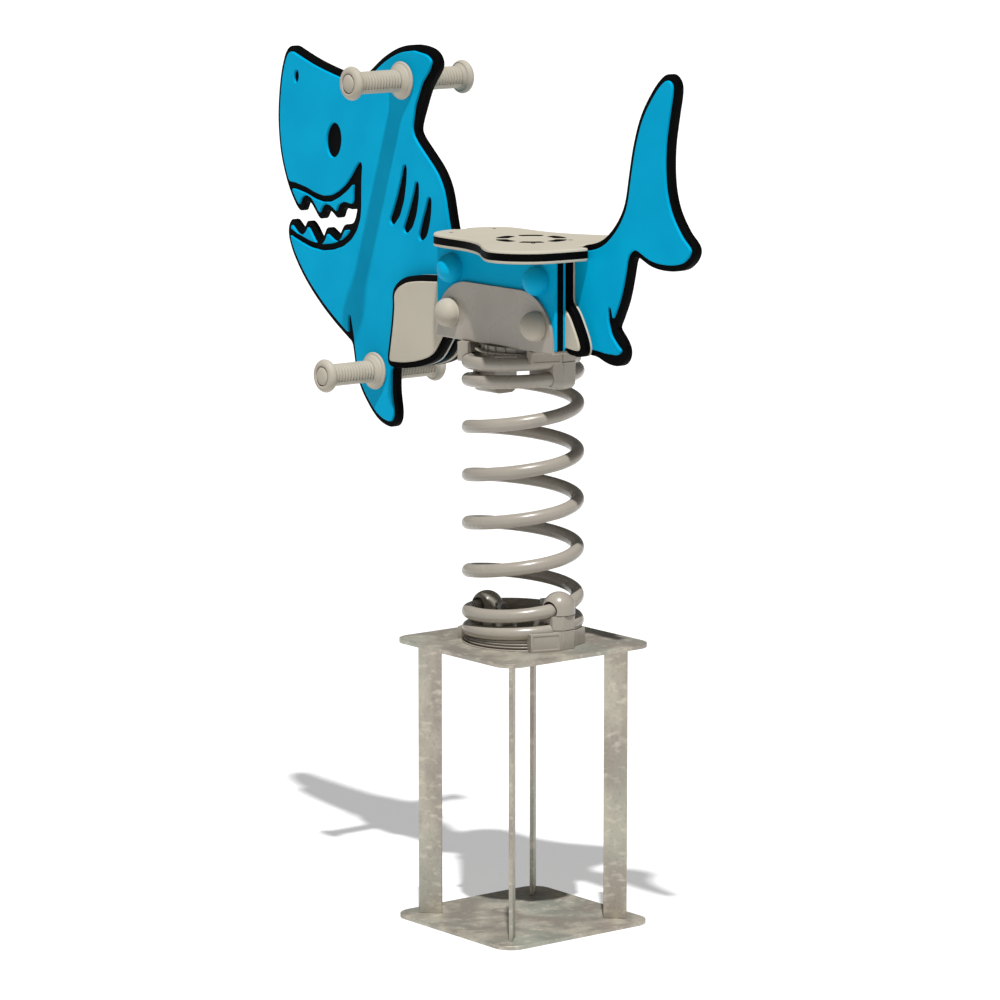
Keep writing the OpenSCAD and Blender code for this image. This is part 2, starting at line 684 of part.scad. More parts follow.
// Least gap between two passes of the wire, over points more than a third of a turn apart
apart = rings_per_turn / 3;
spring_gap = min([
    for (i = [0 : last_ring - apart]) for (j = [i + apart : last_ring]) norm(route[i] - route[j])
]) - wire_d;
echo(spring_gap = spring_gap);

module coil_spring() {
    color(cast_paint) polyhedron(wire_points, wire_faces);
}

// Saddle bracket: a web under the sheets and an ear on each side
function ear() = concat(
    [[saddle_len / 2, 0]],
    [for (a = [0 : 6 : 90]) [saddle_len / 2 - ear_r + ear_r * cos(a), ear_h - ear_r + ear_r * sin(a)]],
    [for (a = [90 : 6 : 180]) [ear_r - saddle_len / 2 + ear_r * cos(a), ear_h - ear_r + ear_r * sin(a)]],
    [[-saddle_len / 2, 0]]
);

module saddle_bracket() {
    color(cast_paint) difference() {
        translate([saddle_ahead, 0, saddle_z]) {
            sheet(ear(), side_y, ear_y);
            sheet(ear(), -ear_y, -side_y);
            block([-saddle_len / 2, -side_y, 0], [saddle_len / 2, side_y, saddle_t]);
        }
        body_holes(low_bolt_h);
        for (x = [-1, 1], y = [-1, 1])
            translate([x * saddle_bolt[0], y * saddle_bolt[1], saddle_z - over])
                cylinder(d = hole_d, h = saddle_t + 2 * over);
    }
}

// Holes of the body bolts at one height
bolt_reach = saddle_len / 2 - bolt_inset;
bolt_places = [saddle_ahead - bolt_reach, saddle_ahead + bolt_reach];
module body_holes(h) {
    for (x = bolt_places) cross(x, saddle_z + h, hole_d, -ear_y - over, ear_y + over);
}

// What every upright sheet leaves free: bolts, bars, the saddle's web, its nuts and the seat
module sheet_cuts() {
    body_holes(low_bolt_h);
    body_holes(high_bolt_h);
    for (s = [handle_shares, footrest_shares])
        cross(s[0] * body_len - tail_back, body_z + s[1] * body_len, bar_d + play, -hip_y, hip_y);
    block([rear_x, -ear_y, body_z], [front_x, ear_y, sheet_z]);
    for (x = [-saddle_bolt[0], saddle_bolt[0]])
        block([x - head_w, -ear_y, sheet_z - over], [x + head_w, ear_y, sheet_z + 2 * nut_h]);
    block([rear_x, -ear_y, seat_z], [front_x, ear_y, seat_z + sheet_t + sheet_t]);
}

module body_core() {
    color(sheet_black) difference() {
        translate([0, 0, body_z]) sheet(shark, -core_t / 2, core_t / 2);
        sheet_cuts();
    }
}

// Outline of the shark's skins, which reach down to the edge of the belly under the hip plates
function lowered(list) = [for (s = list) placed(s) - [0, border - play, 0]];
skin_outline = outline(concat(
    all_placed(concat(snout_shares, back_fin_shares, back_shares, tail_shares, rear_fin_shares)),
    lowered(belly_shares), all_placed(concat(
        low_fin_shares, jaw_shares, low_teeth_shares, high_teeth_shares, face_shares
    ))
), 3);

// A skin whose edge is cut back from the outline, under z = 0 once it stands
module routed_skin(points) {
    rotate([90, 0, 0]) linear_extrude(skin_t) offset(r = -border) polygon(points);
}

// Skin of the shark panel, cut back from the edge and routed
module body_skin() {
    difference() {
        translate([0, panel_y, body_z]) routed_skin(skin_outline);
        translate([0, 0, body_z]) {
            for (line = routed_lines) sheet(stroke(all_drawn(line)), core_t / 2 - over, panel_y + over);
            for (dot = [eye_shares, nostril_shares]) sheet(leaning(dot), core_t / 2 - over, panel_y + over);
        }
        sheet_cuts();
    }
}

module body_skin_left() {
    color(sheet_blue) body_skin();
}

module body_skin_right() {
    color(sheet_blue) mirror([0, 1, 0]) body_skin();
}

// Outline of a hip plate: its lobes, and the square part behind the side plate
hip = outline(concat(
    [[front_x, seat_z - body_z, 0], [front_x, hip_front_shares[0][1] * body_len, 0]],
    all_placed(hip_front_shares),
    [[front_x, saddle_z - body_z, 0], [rear_x, saddle_z - body_z, 0]],
    all_placed(hip_rear_shares),
    [[rear_x, seat_z - body_z - side_h * hip_kink_share, 0], [rear_x, seat_z - body_z, 0]]
), 3);

module hip_core() {
    difference() {
        translate([0, 0, body_z]) sheet(hip, panel_y + skin_t, hip_y - skin_t);
        sheet_cuts();
    }
}

// Inner skin full size, outer skin cut back from the edge
module hip_skins() {
    difference() {
        union() {
            translate([0, 0, body_z]) sheet(hip, panel_y, panel_y + skin_t);
            translate([0, hip_y, body_z]) routed_skin(hip);
        }
        sheet_cuts();
    }
}

module hip_core_left() {
    color(sheet_black) hip_core();
}

module hip_skins_left() {
    color(sheet_beige) hip_skins();
}

module hip_core_right() {
    color(sheet_black) mirror([0, 1, 0]) hip_core();
}

module hip_skins_right() {
    color(sheet_beige) mirror([0, 1, 0]) hip_skins();
}

// Side plate between the saddle's web and the seat
module side_layer(y0, y1) {
    difference() {
        block([rear_x, y0, sheet_z], [front_x, y1, seat_z]);
        sheet_cuts();
        screw_places() cylinder(d = screw_d + play, h = 2 * screw_len, center = true);
    }
}

module side_skins() {
    side_layer(hip_y, hip_y + skin_t);
    side_layer(side_y - skin_t, side_y);
}

module side_core_left() {
    color(sheet_black) side_layer(hip_y + skin_t, side_y - skin_t);
}

module side_skins_left() {
    color(sheet_blue) side_skins();
}

module side_core_right() {
    color(sheet_black) mirror([0, 1, 0]) side_layer(hip_y + skin_t, side_y - skin_t);
}

module side_skins_right() {
    color(sheet_blue) mirror([0, 1, 0]) side_skins();
}

// Seat plate, slotted in front and behind for the panel
seat_front = seat_len / 2 - seat_back;
seat_half = [for (s = seat_shares) [seat_front - s[0] * seat_len, s[1] * seat_w / 2, s[2]]];
seat_outline = outline(concat(
    seat_half,
    [for (i = [len(seat_half) - 2 : -1 : 1]) [seat_half[i][0], -seat_half[i][1], seat_half[i][2]]]
), 4);
seat_x = seat_front - ring_shares[0] * seat_len;

// Slot for the panel from one place along the rider to another
module seat_slot(x0, x1) {
    half = panel_y + play;
    block([x0, -half, seat_z - over], [x1, half, seat_z + sheet_t + over]);
}

// Each screw's place in the seat's top
module screw_places() {
    for (s = screw_shares, y = [-1, 1])
        translate([seat_front - s[0] * seat_len, y * (hip_y + s[1] * sheet_t), seat_z + sheet_t]) children();
}

module seat_layer(z0, z1) {
    difference() {
        translate([0, 0, seat_z + z0]) linear_extrude(z1 - z0) polygon(seat_outline);
        seat_slot(front_x, seat_len);
        seat_slot(-seat_len, rear_x);
        screw_places() cylinder(d = screw_d + play, h = 2 * screw_len, center = true);
    }
}

module seat_core() {
    color(sheet_black) seat_layer(skin_t, sheet_t - skin_t);
}

module seat_bottom_skin() {
    color(sheet_beige) seat_layer(0, skin_t);
}

// Top skin with a ring of routed slots
module seat_top_skin() {
    color(sheet_beige) difference() {
        seat_layer(sheet_t - skin_t, sheet_t);
        for (i = [0 : ring_slots - 1])
            translate([seat_x, 0, seat_z + sheet_t - skin_t - over]) rotate([0, 0, i * 360 / ring_slots])
                rotate_extrude(angle = slot_deg) translate([ring_shares[2] * seat_len, 0])
                    square([(ring_shares[1] - ring_shares[2]) * seat_len, skin_t + 2 * over]);
    }
}

module seat_screws() {
    color(bolt_steel) screw_places() translate([0, 0, -screw_len]) cylinder(d = screw_d, h = screw_len);
}

// Bars through the panel
module bar(s) {
    reach = panel_y + grip_len - plug_t;
    color(bolt_steel) cross(s[0] * body_len - tail_back, body_z + s[1] * body_len, bar_d, -reach, reach);
}

module handle_bar() {
    bar(handle_shares);
}

module footrest_bar() {
    bar(footrest_shares);
}

// Ribbed grip around a bar, its flange on the panel
rib_step = (rib_shares[1] - rib_shares[0]) * grip_len / ribs;
rib_depth = grip_d * rib_share / 2;
grip_profile = concat(
    [[bar_d / 2 + play / 2, 0]],
    [for (s = flange_shares) [s[1] * flange_d / 2, s[0] * grip_len]],
    [for (i = [0 : ribs - 1]) for (k = [0, 1])
        [grip_d / 2 - k * rib_depth, rib_shares[0] * grip_len + rib_step * (i + k / 2)]],
    [[grip_d / 2, rib_shares[1] * grip_len]],
    [for (s = knob_shares) [s[1] * knob_d / 2, s[0] * grip_len]],
    [[plug_d / 2, grip_len], [plug_d / 2, grip_len - plug_t], [bar_d / 2 + play / 2, grip_len - plug_t]]
);

// One grip on the left side of the panel
module grip(s) {
    color(sheet_beige) translate([s[0] * body_len - tail_back, panel_y, body_z + s[1] * body_len])
        rotate([-90, 0, 0]) rotate_extrude() polygon(grip_profile);
}

// Plug in the end of a grip, a little proud of it
module plug(s) {
    plug_h = plug_t + grip_len * plug_rise_share;
    color(sheet_beige) translate([s[0] * body_len - tail_back, panel_y, body_z + s[1] * body_len])
        rotate([-90, 0, 0]) translate([0, 0, grip_len - plug_t])
            cylinder(d1 = plug_d, d2 = plug_d - plug_t, h = plug_h);
}

module handle_grip_left() {
    grip(handle_shares);
}

module handle_grip_right() {
    mirror([0, 1, 0]) grip(handle_shares);
}

module footrest_grip_left() {
    grip(footrest_shares);
}

module footrest_grip_right() {
    mirror([0, 1, 0]) grip(footrest_shares);
}

module handle_plug_left() {
    plug(handle_shares);
}

module handle_plug_right() {
    mirror([0, 1, 0]) plug(handle_shares);
}

module footrest_plug_left() {
    plug(footrest_shares);
}

module footrest_plug_right() {
    mirror([0, 1, 0]) plug(footrest_shares);
}

// Body bolts: heads on the left face, nuts on the right face
module body_bolts(h, face) {
    color(bolt_steel) for (x = bolt_places)
        translate([x, 0, saddle_z + h]) rotate([-90, 0, 0]) {
            translate([0, 0, face]) hex(head_w, head_h);
            translate([0, 0, -face - nut_h - over]) cylinder(d = bolt_d, h = 2 * face + nut_h + over);
        }
}

module upper_body_bolts() {
    body_bolts(high_bolt_h, side_y);
}

module lower_body_bolts() {
    body_bolts(low_bolt_h, ear_y);
}

module body_nuts() {
    color(bolt_steel) for (x = bolt_places, row = [[high_bolt_h, side_y], [low_bolt_h, ear_y]])
        translate([x, -row[1], saddle_z + row[0]]) rotate([90, 0, 0]) nut();
}

// Hollow domes over the heads and the nuts
function dome(r, h) = [for (a = [0 : 6 : 90]) [r * cos(a), cover_skirt + (h - cover_skirt) * sin(a)]];
cover_inside = dome(cover_d / 2 - cover_wall, cover_h - cover_wall);
cover_profile = concat(
    [[cover_d / 2, 0]], dome(cover_d / 2, cover_h),
    [for (i = [len(cover_inside) - 1 : -1 : 0]) cover_inside[i]], [[cover_d / 2 - cover_wall, 0]]
);

module covers(h, face) {
    for (x = bolt_places, side = [-1, 1])
        translate([x, side * face, saddle_z + h]) rotate([-90 * side, 0, 0])
            rotate_extrude() polygon(cover_profile);
}

module blue_covers() {
    color(sheet_blue) covers(high_bolt_h, side_y);
}

module beige_covers() {
    color(sheet_beige) covers(low_bolt_h, ear_y);
}

anchor_base_plate();
anchor_top_plate();
anchor_leg(45);  // anchor_leg_front_left
anchor_leg(-45);  // anchor_leg_front_right
anchor_leg(135);  // anchor_leg_rear_left
anchor_leg(-135);  // anchor_leg_rear_right
lower_spring_seat();
jaw(low_front[0], low_front[1]);  // lower_jaw_front
rotate([0, 0, 180]) jaw(low_rear[0], low_rear[1]);  // lower_jaw_rear
lower_cap(low_front[1], 0);  // lower_cap_front
lower_cap(low_rear[1], 1);  // lower_cap_rear
lower_clamp_bolts();
lower_seat_bolts();
lower_seat_nuts();
coil_spring();
upper_spring_seat();
jaw(high_front[1], high_front[0]);  // upper_jaw_front
rotate([0, 0, 180]) jaw(high_rear[1], high_rear[0]);  // upper_jaw_rear
upper_cap(high_front[1], 0);  // upper_cap_front
upper_cap(high_rear[1], 1);  // upper_cap_rear
upper_clamp_bolts();
saddle_bracket();
saddle_bolts();
saddle_nuts();
body_core();
body_skin_left();
body_skin_right();
hip_core_left();
hip_skins_left();
hip_core_right();
hip_skins_right();
side_core_left();
side_skins_left();
side_core_right();
side_skins_right();
seat_core();
seat_top_skin();
seat_bottom_skin();
seat_screws();
handle_bar();
footrest_bar();
handle_grip_left();
handle_grip_right();
footrest_grip_left();
footrest_grip_right();
handle_plug_left();
handle_plug_right();
footrest_plug_left();
footrest_plug_right();
upper_body_bolts();
lower_body_bolts();
body_nuts();
blue_covers();
beige_covers();
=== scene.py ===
"""Spring rider with a shark-shaped sheet body, dressed for its picture.

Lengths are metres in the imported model's frame: +X is the way the rider faces, +Y is the rider's left, +Z is
up, and the origin is under the middle of the anchor's bottom plate.
"""
import logging
import math
from collections import defaultdict
from collections.abc import Iterable, Mapping, Sequence
from dataclasses import dataclass
from enum import Enum

import bmesh
import bpy
from bmesh.types import BMEdge, BMesh, BMFace, BMVert
from bpy.types import Material, Node, NodeSocket, NodeTree, Object
from mathutils import Matrix, Vector


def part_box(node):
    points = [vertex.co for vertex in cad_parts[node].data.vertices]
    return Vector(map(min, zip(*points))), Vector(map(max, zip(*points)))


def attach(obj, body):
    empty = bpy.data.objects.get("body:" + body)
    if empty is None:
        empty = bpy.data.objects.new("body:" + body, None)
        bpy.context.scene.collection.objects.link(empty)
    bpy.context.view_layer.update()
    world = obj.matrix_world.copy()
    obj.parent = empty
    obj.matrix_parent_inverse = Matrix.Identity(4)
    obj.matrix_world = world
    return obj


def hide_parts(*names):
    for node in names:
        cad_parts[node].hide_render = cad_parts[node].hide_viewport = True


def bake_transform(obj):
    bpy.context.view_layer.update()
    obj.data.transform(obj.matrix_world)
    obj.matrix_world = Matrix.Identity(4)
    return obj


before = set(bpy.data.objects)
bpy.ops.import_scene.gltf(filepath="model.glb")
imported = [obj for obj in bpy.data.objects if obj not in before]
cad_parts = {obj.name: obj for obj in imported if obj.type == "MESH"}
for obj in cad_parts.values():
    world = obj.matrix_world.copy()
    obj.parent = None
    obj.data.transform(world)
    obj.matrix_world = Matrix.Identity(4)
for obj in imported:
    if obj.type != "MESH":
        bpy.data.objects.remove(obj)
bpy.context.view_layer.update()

LOG = logging.getLogger("spring_rider")
MM = 0.001
WELD = 0.002 * MM
LEVEL = 0.01 * MM
NEAR = 0.1 * MM
LAP = 1 * MM
FLAT_DEG = 0.5
TURNED_DEG = 50
LARGE_MM2 = 200
UP = Vector((0, 0, 1))
SIDE = Vector((0, 1, 0))
MIX_SHARE, MIX_FIRST, MIX_SECOND, MIX_COLOUR = 0, 6, 7, 2
Colour = tuple[float, float, float, float]
Profile = list[tuple[float, float]]
Span = tuple[float, float]
Stretch = tuple[float, float, float]


class Body(Enum):
    """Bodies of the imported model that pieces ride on."""

    ANCHOR = "anchor"
    SPRING = "spring"
    RIDER = "rider"


class Slot(Enum):
    """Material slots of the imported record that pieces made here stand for."""

    GALVANISED = "galvanised_steel"
    CASTING = "casting_coat"
    SPRING = "spring_coat"
    BLUE_SHEET = "blue_sheet"
    BLACK_SHEET = "black_sheet"
    BEIGE_SHEET = "beige_sheet"
    BEIGE_PLASTIC = "beige_plastic"
    BLUE_PLASTIC = "blue_plastic"


class Across(Enum):
    """Axis that a sheet's thickness lies along."""

    SIDEWAYS = 1
    UPRIGHT = 2


def linear(code: str) -> Colour:
    """Turn an sRGB hex colour into linear light.

    Args:
        code: Colour as "#rrggbb".

    Returns:
        Red, green, blue and alpha in linear light.
    """
    values = [int(code[i:i + 2], 16) / 255 for i in (1, 3, 5)]
    red, green, blue = (v / 12.92 if v <= 0.04045 else ((v + 0.055) / 1.055) ** 2.4 for v in values)
    return red, green, blue, 1.0


def per_metre(size_mm: float) -> float:
    """Pattern scale at which one cell measures size_mm."""
    return 1000 / size_mm


def add(
    tree: NodeTree, kind: str, inputs: Mapping[str | int, object] | None = None, **settings: object
) -> Node:
    """Add a node with its settings, values and links.

    Args:
        tree: Node tree to add to.
        kind: Blender's name of the node type.
        inputs: Value or source socket for each input, by name or number.
        **settings: Attributes of the node.

    Returns:
        The new node.
    """
    node = tree.nodes.new(kind)
    for name, value in settings.items():
        setattr(node, name, value)
    for key, value in (inputs or {}).items():
        if isinstance(value, NodeSocket):
            tree.links.new(value, node.inputs[key])
        else:
            node.inputs[key].default_value = value
    return node


@dataclass(frozen=True)
class Stain:
    """A second colour that shows where a cloudy pattern is strong.

    It starts at the first value of the span, and at the second it has its greatest share.
    """

    code: str
    size_mm: float
    detail: float = 2.0
    stretch: Stretch = (1, 1, 1)
    most: float = 1.0
    span: Span = (0.3, 0.7)


@dataclass(frozen=True)
class Finish:
    """A real material: its name and what its surface gives the eye."""

    name: str

    def material(self) -> Material:
        """Return the finish's material, made on first use.

        Returns:
            A node material named after the real one.
        """
        made = bpy.data.materials.get(self.name)
        if made is None:
            made = bpy.data.materials.new(self.name)
            made.use_nodes = True
            made.node_tree.nodes.clear()
            shader = self.lay(made.node_tree)
            add(made.node_tree, "ShaderNodeOutputMaterial", {"Surface": shader.outputs[0]})
        return made

    def lay(self, tree: NodeTree) -> Node:
        """Lay the finish's nodes and return its shader."""
        raise NotImplementedError

    def pattern(
        self, tree: NodeTree, size_mm: float, detail: float = 2.0, stretch: Stretch = (1, 1, 1)
    ) -> NodeSocket:
        """Lay a cloudy pattern on the piece's own coordinates.

        Args:
            tree: Node tree to add to.
            size_mm: Size of one cloud.
            detail: Octaves of finer clouds.
            stretch: How many times finer the pattern is along each axis.

        Returns:
            Socket with values about 0.5.
        """
        place = add(tree, "ShaderNodeTexCoord").outputs["Object"]
        stretched = add(tree, "ShaderNodeMapping", {"Vector": place, "Scale": stretch}).outputs[0]
        return add(tree, "ShaderNodeTexNoise", {
            "Vector": stretched, "Scale": per_metre(size_mm), "Detail": detail,
        }).outputs[0]

    def stained(self, tree: NodeTree, under: object, stain: Stain, pattern: NodeSocket) -> NodeSocket:
        """Lay a stain over a colour where a pattern is strong.

        Args:
            tree: Node tree to add to.
            under: Colour below, or the socket that gives it.
            stain: Stain to lay.
            pattern: Socket with the stain's pattern.

        Returns:
            Socket with the stained colour.
        """
        share = add(tree, "ShaderNodeMapRange", {
            "Value": pattern, "From Min": stain.span[0], "From Max": stain.span[1], "To Max": stain.most,
        }).outputs[0]
        inputs = {MIX_SHARE: share, MIX_FIRST: under, MIX_SECOND: linear(stain.code)}
        return add(tree, "ShaderNodeMix", inputs, data_type="RGBA").outputs[MIX_COLOUR]

    def surface(
        self, tree: NodeTree, tone: NodeSocket, pattern: NodeSocket, span: Span, rough: Span,
        inputs: Mapping[str, object],
    ) -> Node:
        """Lay the shader with a sheen that follows a pattern.

        Args:
            tree: Node tree to add to.
            tone: Socket with the colour.
            pattern: Socket with the pattern.
            span: Values of the pattern at which the roughness is at its ends.
            rough: Least and greatest roughness.
            inputs: The shader's other values.

        Returns:
            The shader.
        """
        dull = add(tree, "ShaderNodeMapRange", {
            "Value": pattern, "From Min": span[0], "From Max": span[1],
            "To Min": rough[0], "To Max": rough[1],
        }).outputs[0]
        return add(tree, "ShaderNodeBsdfPrincipled", {"Base Color": tone, "Roughness": dull, **inputs})


@dataclass(frozen=True)
class Tinted(Finish):
    """A coloured surface: two close tones in soft clouds, an even sheen and a fine grain.

    A grain of 0 mm takes the clouds as its grain.
    """

    tone: str = "#808080"
    shade: str = "#787878"
    cloud_mm: float = 90
    cloud_detail: float = 2.0
    stretch: Stretch = (1, 1, 1)
    grain_mm: float = 2.2
    grain_strength: float = 0.12
    grain_depth: float = 0.25 * MM
    rough: Span = (0.42, 0.52)
    ior: float = 1.52
    sheen: float = 0.02

    def lay(self, tree: NodeTree) -> Node:
        """Lay the clouded tone, the sheen and the grain.

        Args:
            tree: Node tree to add to.

        Returns:
            The shader.
        """
        cloud = self.pattern(tree, self.cloud_mm, self.cloud_detail, self.stretch)
        shade = Stain(self.shade, self.cloud_mm)
        tone = self.stained(tree, linear(self.tone), shade, cloud)
        grain = self.pattern(tree, self.grain_mm, 1) if self.grain_mm else cloud
        bump = add(tree, "ShaderNodeBump", {
            "Strength": self.grain_strength, "Distance": self.grain_depth, "Height": grain,
        })
        return self.surface(tree, tone, cloud, shade.span, self.rough, {
            "IOR": self.ior, "Specular IOR Level": self.sheen, "Normal": bump.outputs[0],
        })


@dataclass(frozen=True)
class SheetPolyethylene(Tinted):
    """Coextruded sheet: one even strong colour, a low satin sheen and the faint pebble of the rollers.

    The pebble is drawn coarser than it is, so that it shows.
    """

    tone: str = "#00a2cc"
    shade: str = "#0099c4"


@dataclass(frozen=True)
class RoutedPolyethylene(Tinted):
    """Black sheet core cut by a router: matt, with fine marks of the cutter across the sheet's thickness.

    The marks are drawn coarser than they are, so that they show.
    """

    tone: str = "#020202"
    shade: str = "#070707"
    cloud_mm: float = 1.4
    stretch: Stretch = (1, 0.06, 1)
    grain_mm: float = 0
    grain_strength: float = 0.25
    grain_depth: float = 0.2 * MM
    rough: Span = (0.5, 0.65)
    sheen: float = 0.03


@dataclass(frozen=True)
class PowderCoat(Tinted):
    """Polyester powder baked on steel: a hard gloss with small sharp lights and a slight orange peel."""

    tone: str = "#9c958a"
    shade: str = "#948d82"
    cloud_mm: float = 60
    cloud_detail: float = 3.0
    grain_mm: float = 3.0
    grain_strength: float = 0.1
    grain_depth: float = 0.2 * MM
    rough: Span = (0.24, 0.32)
    ior: float = 1.5
    sheen: float = 0.5


@dataclass(frozen=True)
class MouldedPlastic(Tinted):
    """Injection moulded polypropylene: soft gloss, an even colour and the fine grain of the mould.

    The grain is drawn coarser than it is, so that it shows.
    """

    tone: str = "#b2ab9d"
    shade: str = "#a9a294"
    cloud_mm: float = 40
    grain_mm: float = 1.5
    grain_strength: float = 0.08
    grain_depth: float = 0.2 * MM
    rough: Span = (0.4, 0.48)
    ior: float = 1.49
    sheen: float = 0.06


@dataclass(frozen=True)
class GalvanisedSteel(Finish):
    """Hot dip zinc gone dull: warm grey clouds, greenish runs, pale flecks and fine dark specks."""

    tone: str = "#a0988d"
    clouds: Stain = Stain("#bdb7a8", 49.4, 4, (1, 1, 0.5), 0.9, (0.44, 0.62))
    runs: Stain = Stain("#a2a89c", 133, 3, (1, 1, 0.5), 0.8, (0.48, 0.68))
    flecks: Stain = Stain("#d8d0bf", 19, 2.5, (1, 1, 2), 0.6, (0.54, 0.74))
    specks: Stain = Stain("#7d776e", 5, 3, (1, 1, 1), 0.4, (0.52, 0.8))
    grain_strength: float = 0.15
    grain_depth: float = 0.3 * MM
    metallic: float = 0.55
    rough: Span = (0.5, 0.608)
    sheen: float = 0.3

    def lay(self, tree: NodeTree) -> Node:
        """Lay the clouds, the runs, the flecks and the specks over a half metallic sheen.

        Args:
            tree: Node tree to add to.

        Returns:
            The shader.
        """
        tone, patterns = linear(self.tone), {}
        for stain in (self.clouds, self.runs, self.flecks, self.specks):
            patterns[stain] = self.pattern(tree, stain.size_mm, stain.detail, stain.stretch)
            tone = self.stained(tree, tone, stain, patterns[stain])
        bump = add(tree, "ShaderNodeBump", {
            "Strength": self.grain_strength, "Distance": self.grain_depth, "Height": patterns[self.specks],
        })
        return self.surface(tree, tone, patterns[self.clouds], self.clouds.span, self.rough, {
            "Metallic": self.metallic, "Specular IOR Level": self.sheen, "Normal": bump.outputs[0],
        })


@dataclass(frozen=True)
class ZincPlate(Finish):
    """Bright zinc on bolts: a clean grey metal with fine turning marks, drawn coarser so that they show."""

    tone: str = "#b9bab8"
    marks: Stain = Stain("#8f908d", 2.5, 3)
    rough: Span = (0.3, 0.45)

    def lay(self, tree: NodeTree) -> Node:
        """Lay the plated metal with its marks.

        Args:
            tree: Node tree to add to.

        Returns:
            The shader.
        """
        pattern = self.pattern(tree, self.marks.size_mm, self.marks.detail)
        tone = self.stained(tree, linear(self.tone), self.marks, pattern)
        return self.surface(tree, tone, pattern, self.marks.span, self.rough, {"Metallic": 1.0})


@dataclass(frozen=True)
class StudioFloor(Finish):
    """Pale studio floor that glows a little, so that the shadow on it stays light."""

    tone: str = "#cbcbcb"
    glow: float = 0.39

    def lay(self, tree: NodeTree) -> Node:
        """Lay the floor's even pale grey.

        Args:
            tree: Node tree to add to.

        Returns:
            The shader.
        """
        return add(tree, "ShaderNodeBsdfPrincipled", {
            "Base Color": linear(self.tone), "Roughness": 1.0, "Specular IOR Level": 0.0,
            "Emission Color": linear("#ffffff"), "Emission Strength": self.glow,
        })


BLUE_SHEET = SheetPolyethylene("Polyethylene sheet, blue")
BEIGE_SHEET = SheetPolyethylene("Polyethylene sheet, beige", "#bbb4a4", "#b5ae9e")
BLACK_CORE = RoutedPolyethylene("Polyethylene core, routed black")
COAT = PowderCoat("Powder coat, stone grey")
ZINC_DIP = GalvanisedSteel("Hot dip galvanised steel")
BEIGE_MOULDING = MouldedPlastic("Polypropylene, beige")
BLUE_MOULDING = MouldedPlastic("Polypropylene, blue", "#00a2cc", "#009ac4")
BOLT_ZINC = ZincPlate("Zinc plated steel")
FLOOR = StudioFloor("Studio floor, pale")


def placed(bm: BMesh, name: str) -> Object:
    """Make a bmesh an object of the scene.

    Args:
        bm: Mesh in its place, freed here.
        name: Name of the object and its mesh.

    Returns:
        The new object.
    """
    mesh = bpy.data.meshes.new(name)
    bm.to_mesh(mesh)
    bm.free()
    made = bpy.data.objects.new(name, mesh)
    bpy.context.scene.collection.objects.link(made)
    return made


def finished(
    bm: BMesh, name: str, finish: Finish, body: Body | None, nodes: Iterable[str] = (),
    sharp_deg: float = 38, flat_mm2: float = 0,
) -> Object:
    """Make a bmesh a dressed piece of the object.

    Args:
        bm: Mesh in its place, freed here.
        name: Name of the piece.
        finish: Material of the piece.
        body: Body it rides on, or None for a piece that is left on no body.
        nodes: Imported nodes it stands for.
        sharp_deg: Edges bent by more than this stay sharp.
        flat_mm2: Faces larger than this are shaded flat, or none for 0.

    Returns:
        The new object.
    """
    bmesh.ops.remove_doubles(bm, verts=bm.verts, dist=WELD)
    bmesh.ops.recalc_face_normals(bm, faces=bm.faces)
    for face in bm.faces:
        face.smooth = True
    piece = placed(bm, name)
    mesh = piece.data
    mesh.set_sharp_from_angle(angle=math.radians(sharp_deg))
    for face in mesh.polygons:
        face.use_smooth = not flat_mm2 or face.area < flat_mm2 * MM * MM
    mesh.materials.append(finish.material())
    if body is not None:
        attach(piece, body.value)
    if nodes:
        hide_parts(*nodes)
    LOG.info("%s: %d faces", name, len(mesh.polygons))
    return piece


def merged_copy(node: str) -> BMesh:
    """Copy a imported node's mesh with its loose triangles joined.

    Args:
        node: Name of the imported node.

    Returns:
        A new bmesh in the node's place.
    """
    bm = bmesh.new()
    bm.from_mesh(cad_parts[node].data)
    bmesh.ops.remove_doubles(bm, verts=bm.verts, dist=WELD)
    bmesh.ops.dissolve_degenerate(bm, edges=bm.edges, dist=WELD / 2)
    return bm


def flat_faced_copy(node: str) -> BMesh:
    """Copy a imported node's mesh with the triangles of each flat face joined too.

    Args:
        node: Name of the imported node.

    Returns:
        A new bmesh in the node's place.
    """
    bm = merged_copy(node)
    bmesh.ops.dissolve_limit(bm, angle_limit=math.radians(FLAT_DEG), verts=bm.verts, edges=bm.edges)
    return bm


def islands(bm: BMesh) -> list[set[BMVert]]:
    """Find the separate solids of a mesh.

    Args:
        bm: Mesh with its doubles merged.

    Returns:
        One set of vertices for each solid.
    """
    left = set(bm.verts)
    found = []
    while left:
        solid, edge = set(), {left.pop()}
        while edge:
            solid |= edge
            edge = {e.other_vert(v) for v in edge for e in v.link_edges} - solid
        left -= solid
        found.append(solid)
    return found


def solid_boxes(node: str) -> list[tuple[Vector, Vector]]:
    """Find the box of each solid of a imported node.

    Args:
        node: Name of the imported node.

    Returns:
        Lowest and highest corner of each solid.
    """
    bm = merged_copy(node)
    boxes = [
        tuple(Vector(pick(v.co[k] for v in solid) for k in range(3)) for pick in (min, max))
        for solid in islands(bm)
    ]
    bm.free()
    return boxes


def arc(
    middle: tuple[float, float], radii: tuple[float, float], start_deg: float, end_deg: float, steps: int
) -> Profile:
    """Points of an elliptical arc in a lathe profile.

    Args:
        middle: Radius and height of the arc's middle.
        radii: Half axes along the radius and the height.
        start_deg: Angle of the first point, from the outward radius towards the height.
        end_deg: Angle of the last point.
        steps: Steps between them.

    Returns:
        Pairs of radius and height.
    """
    angles = [math.radians(start_deg + (end_deg - start_deg) * i / steps) for i in range(steps + 1)]
    return [(middle[0] + radii[0] * math.cos(a), middle[1] + radii[1] * math.sin(a)) for a in angles]


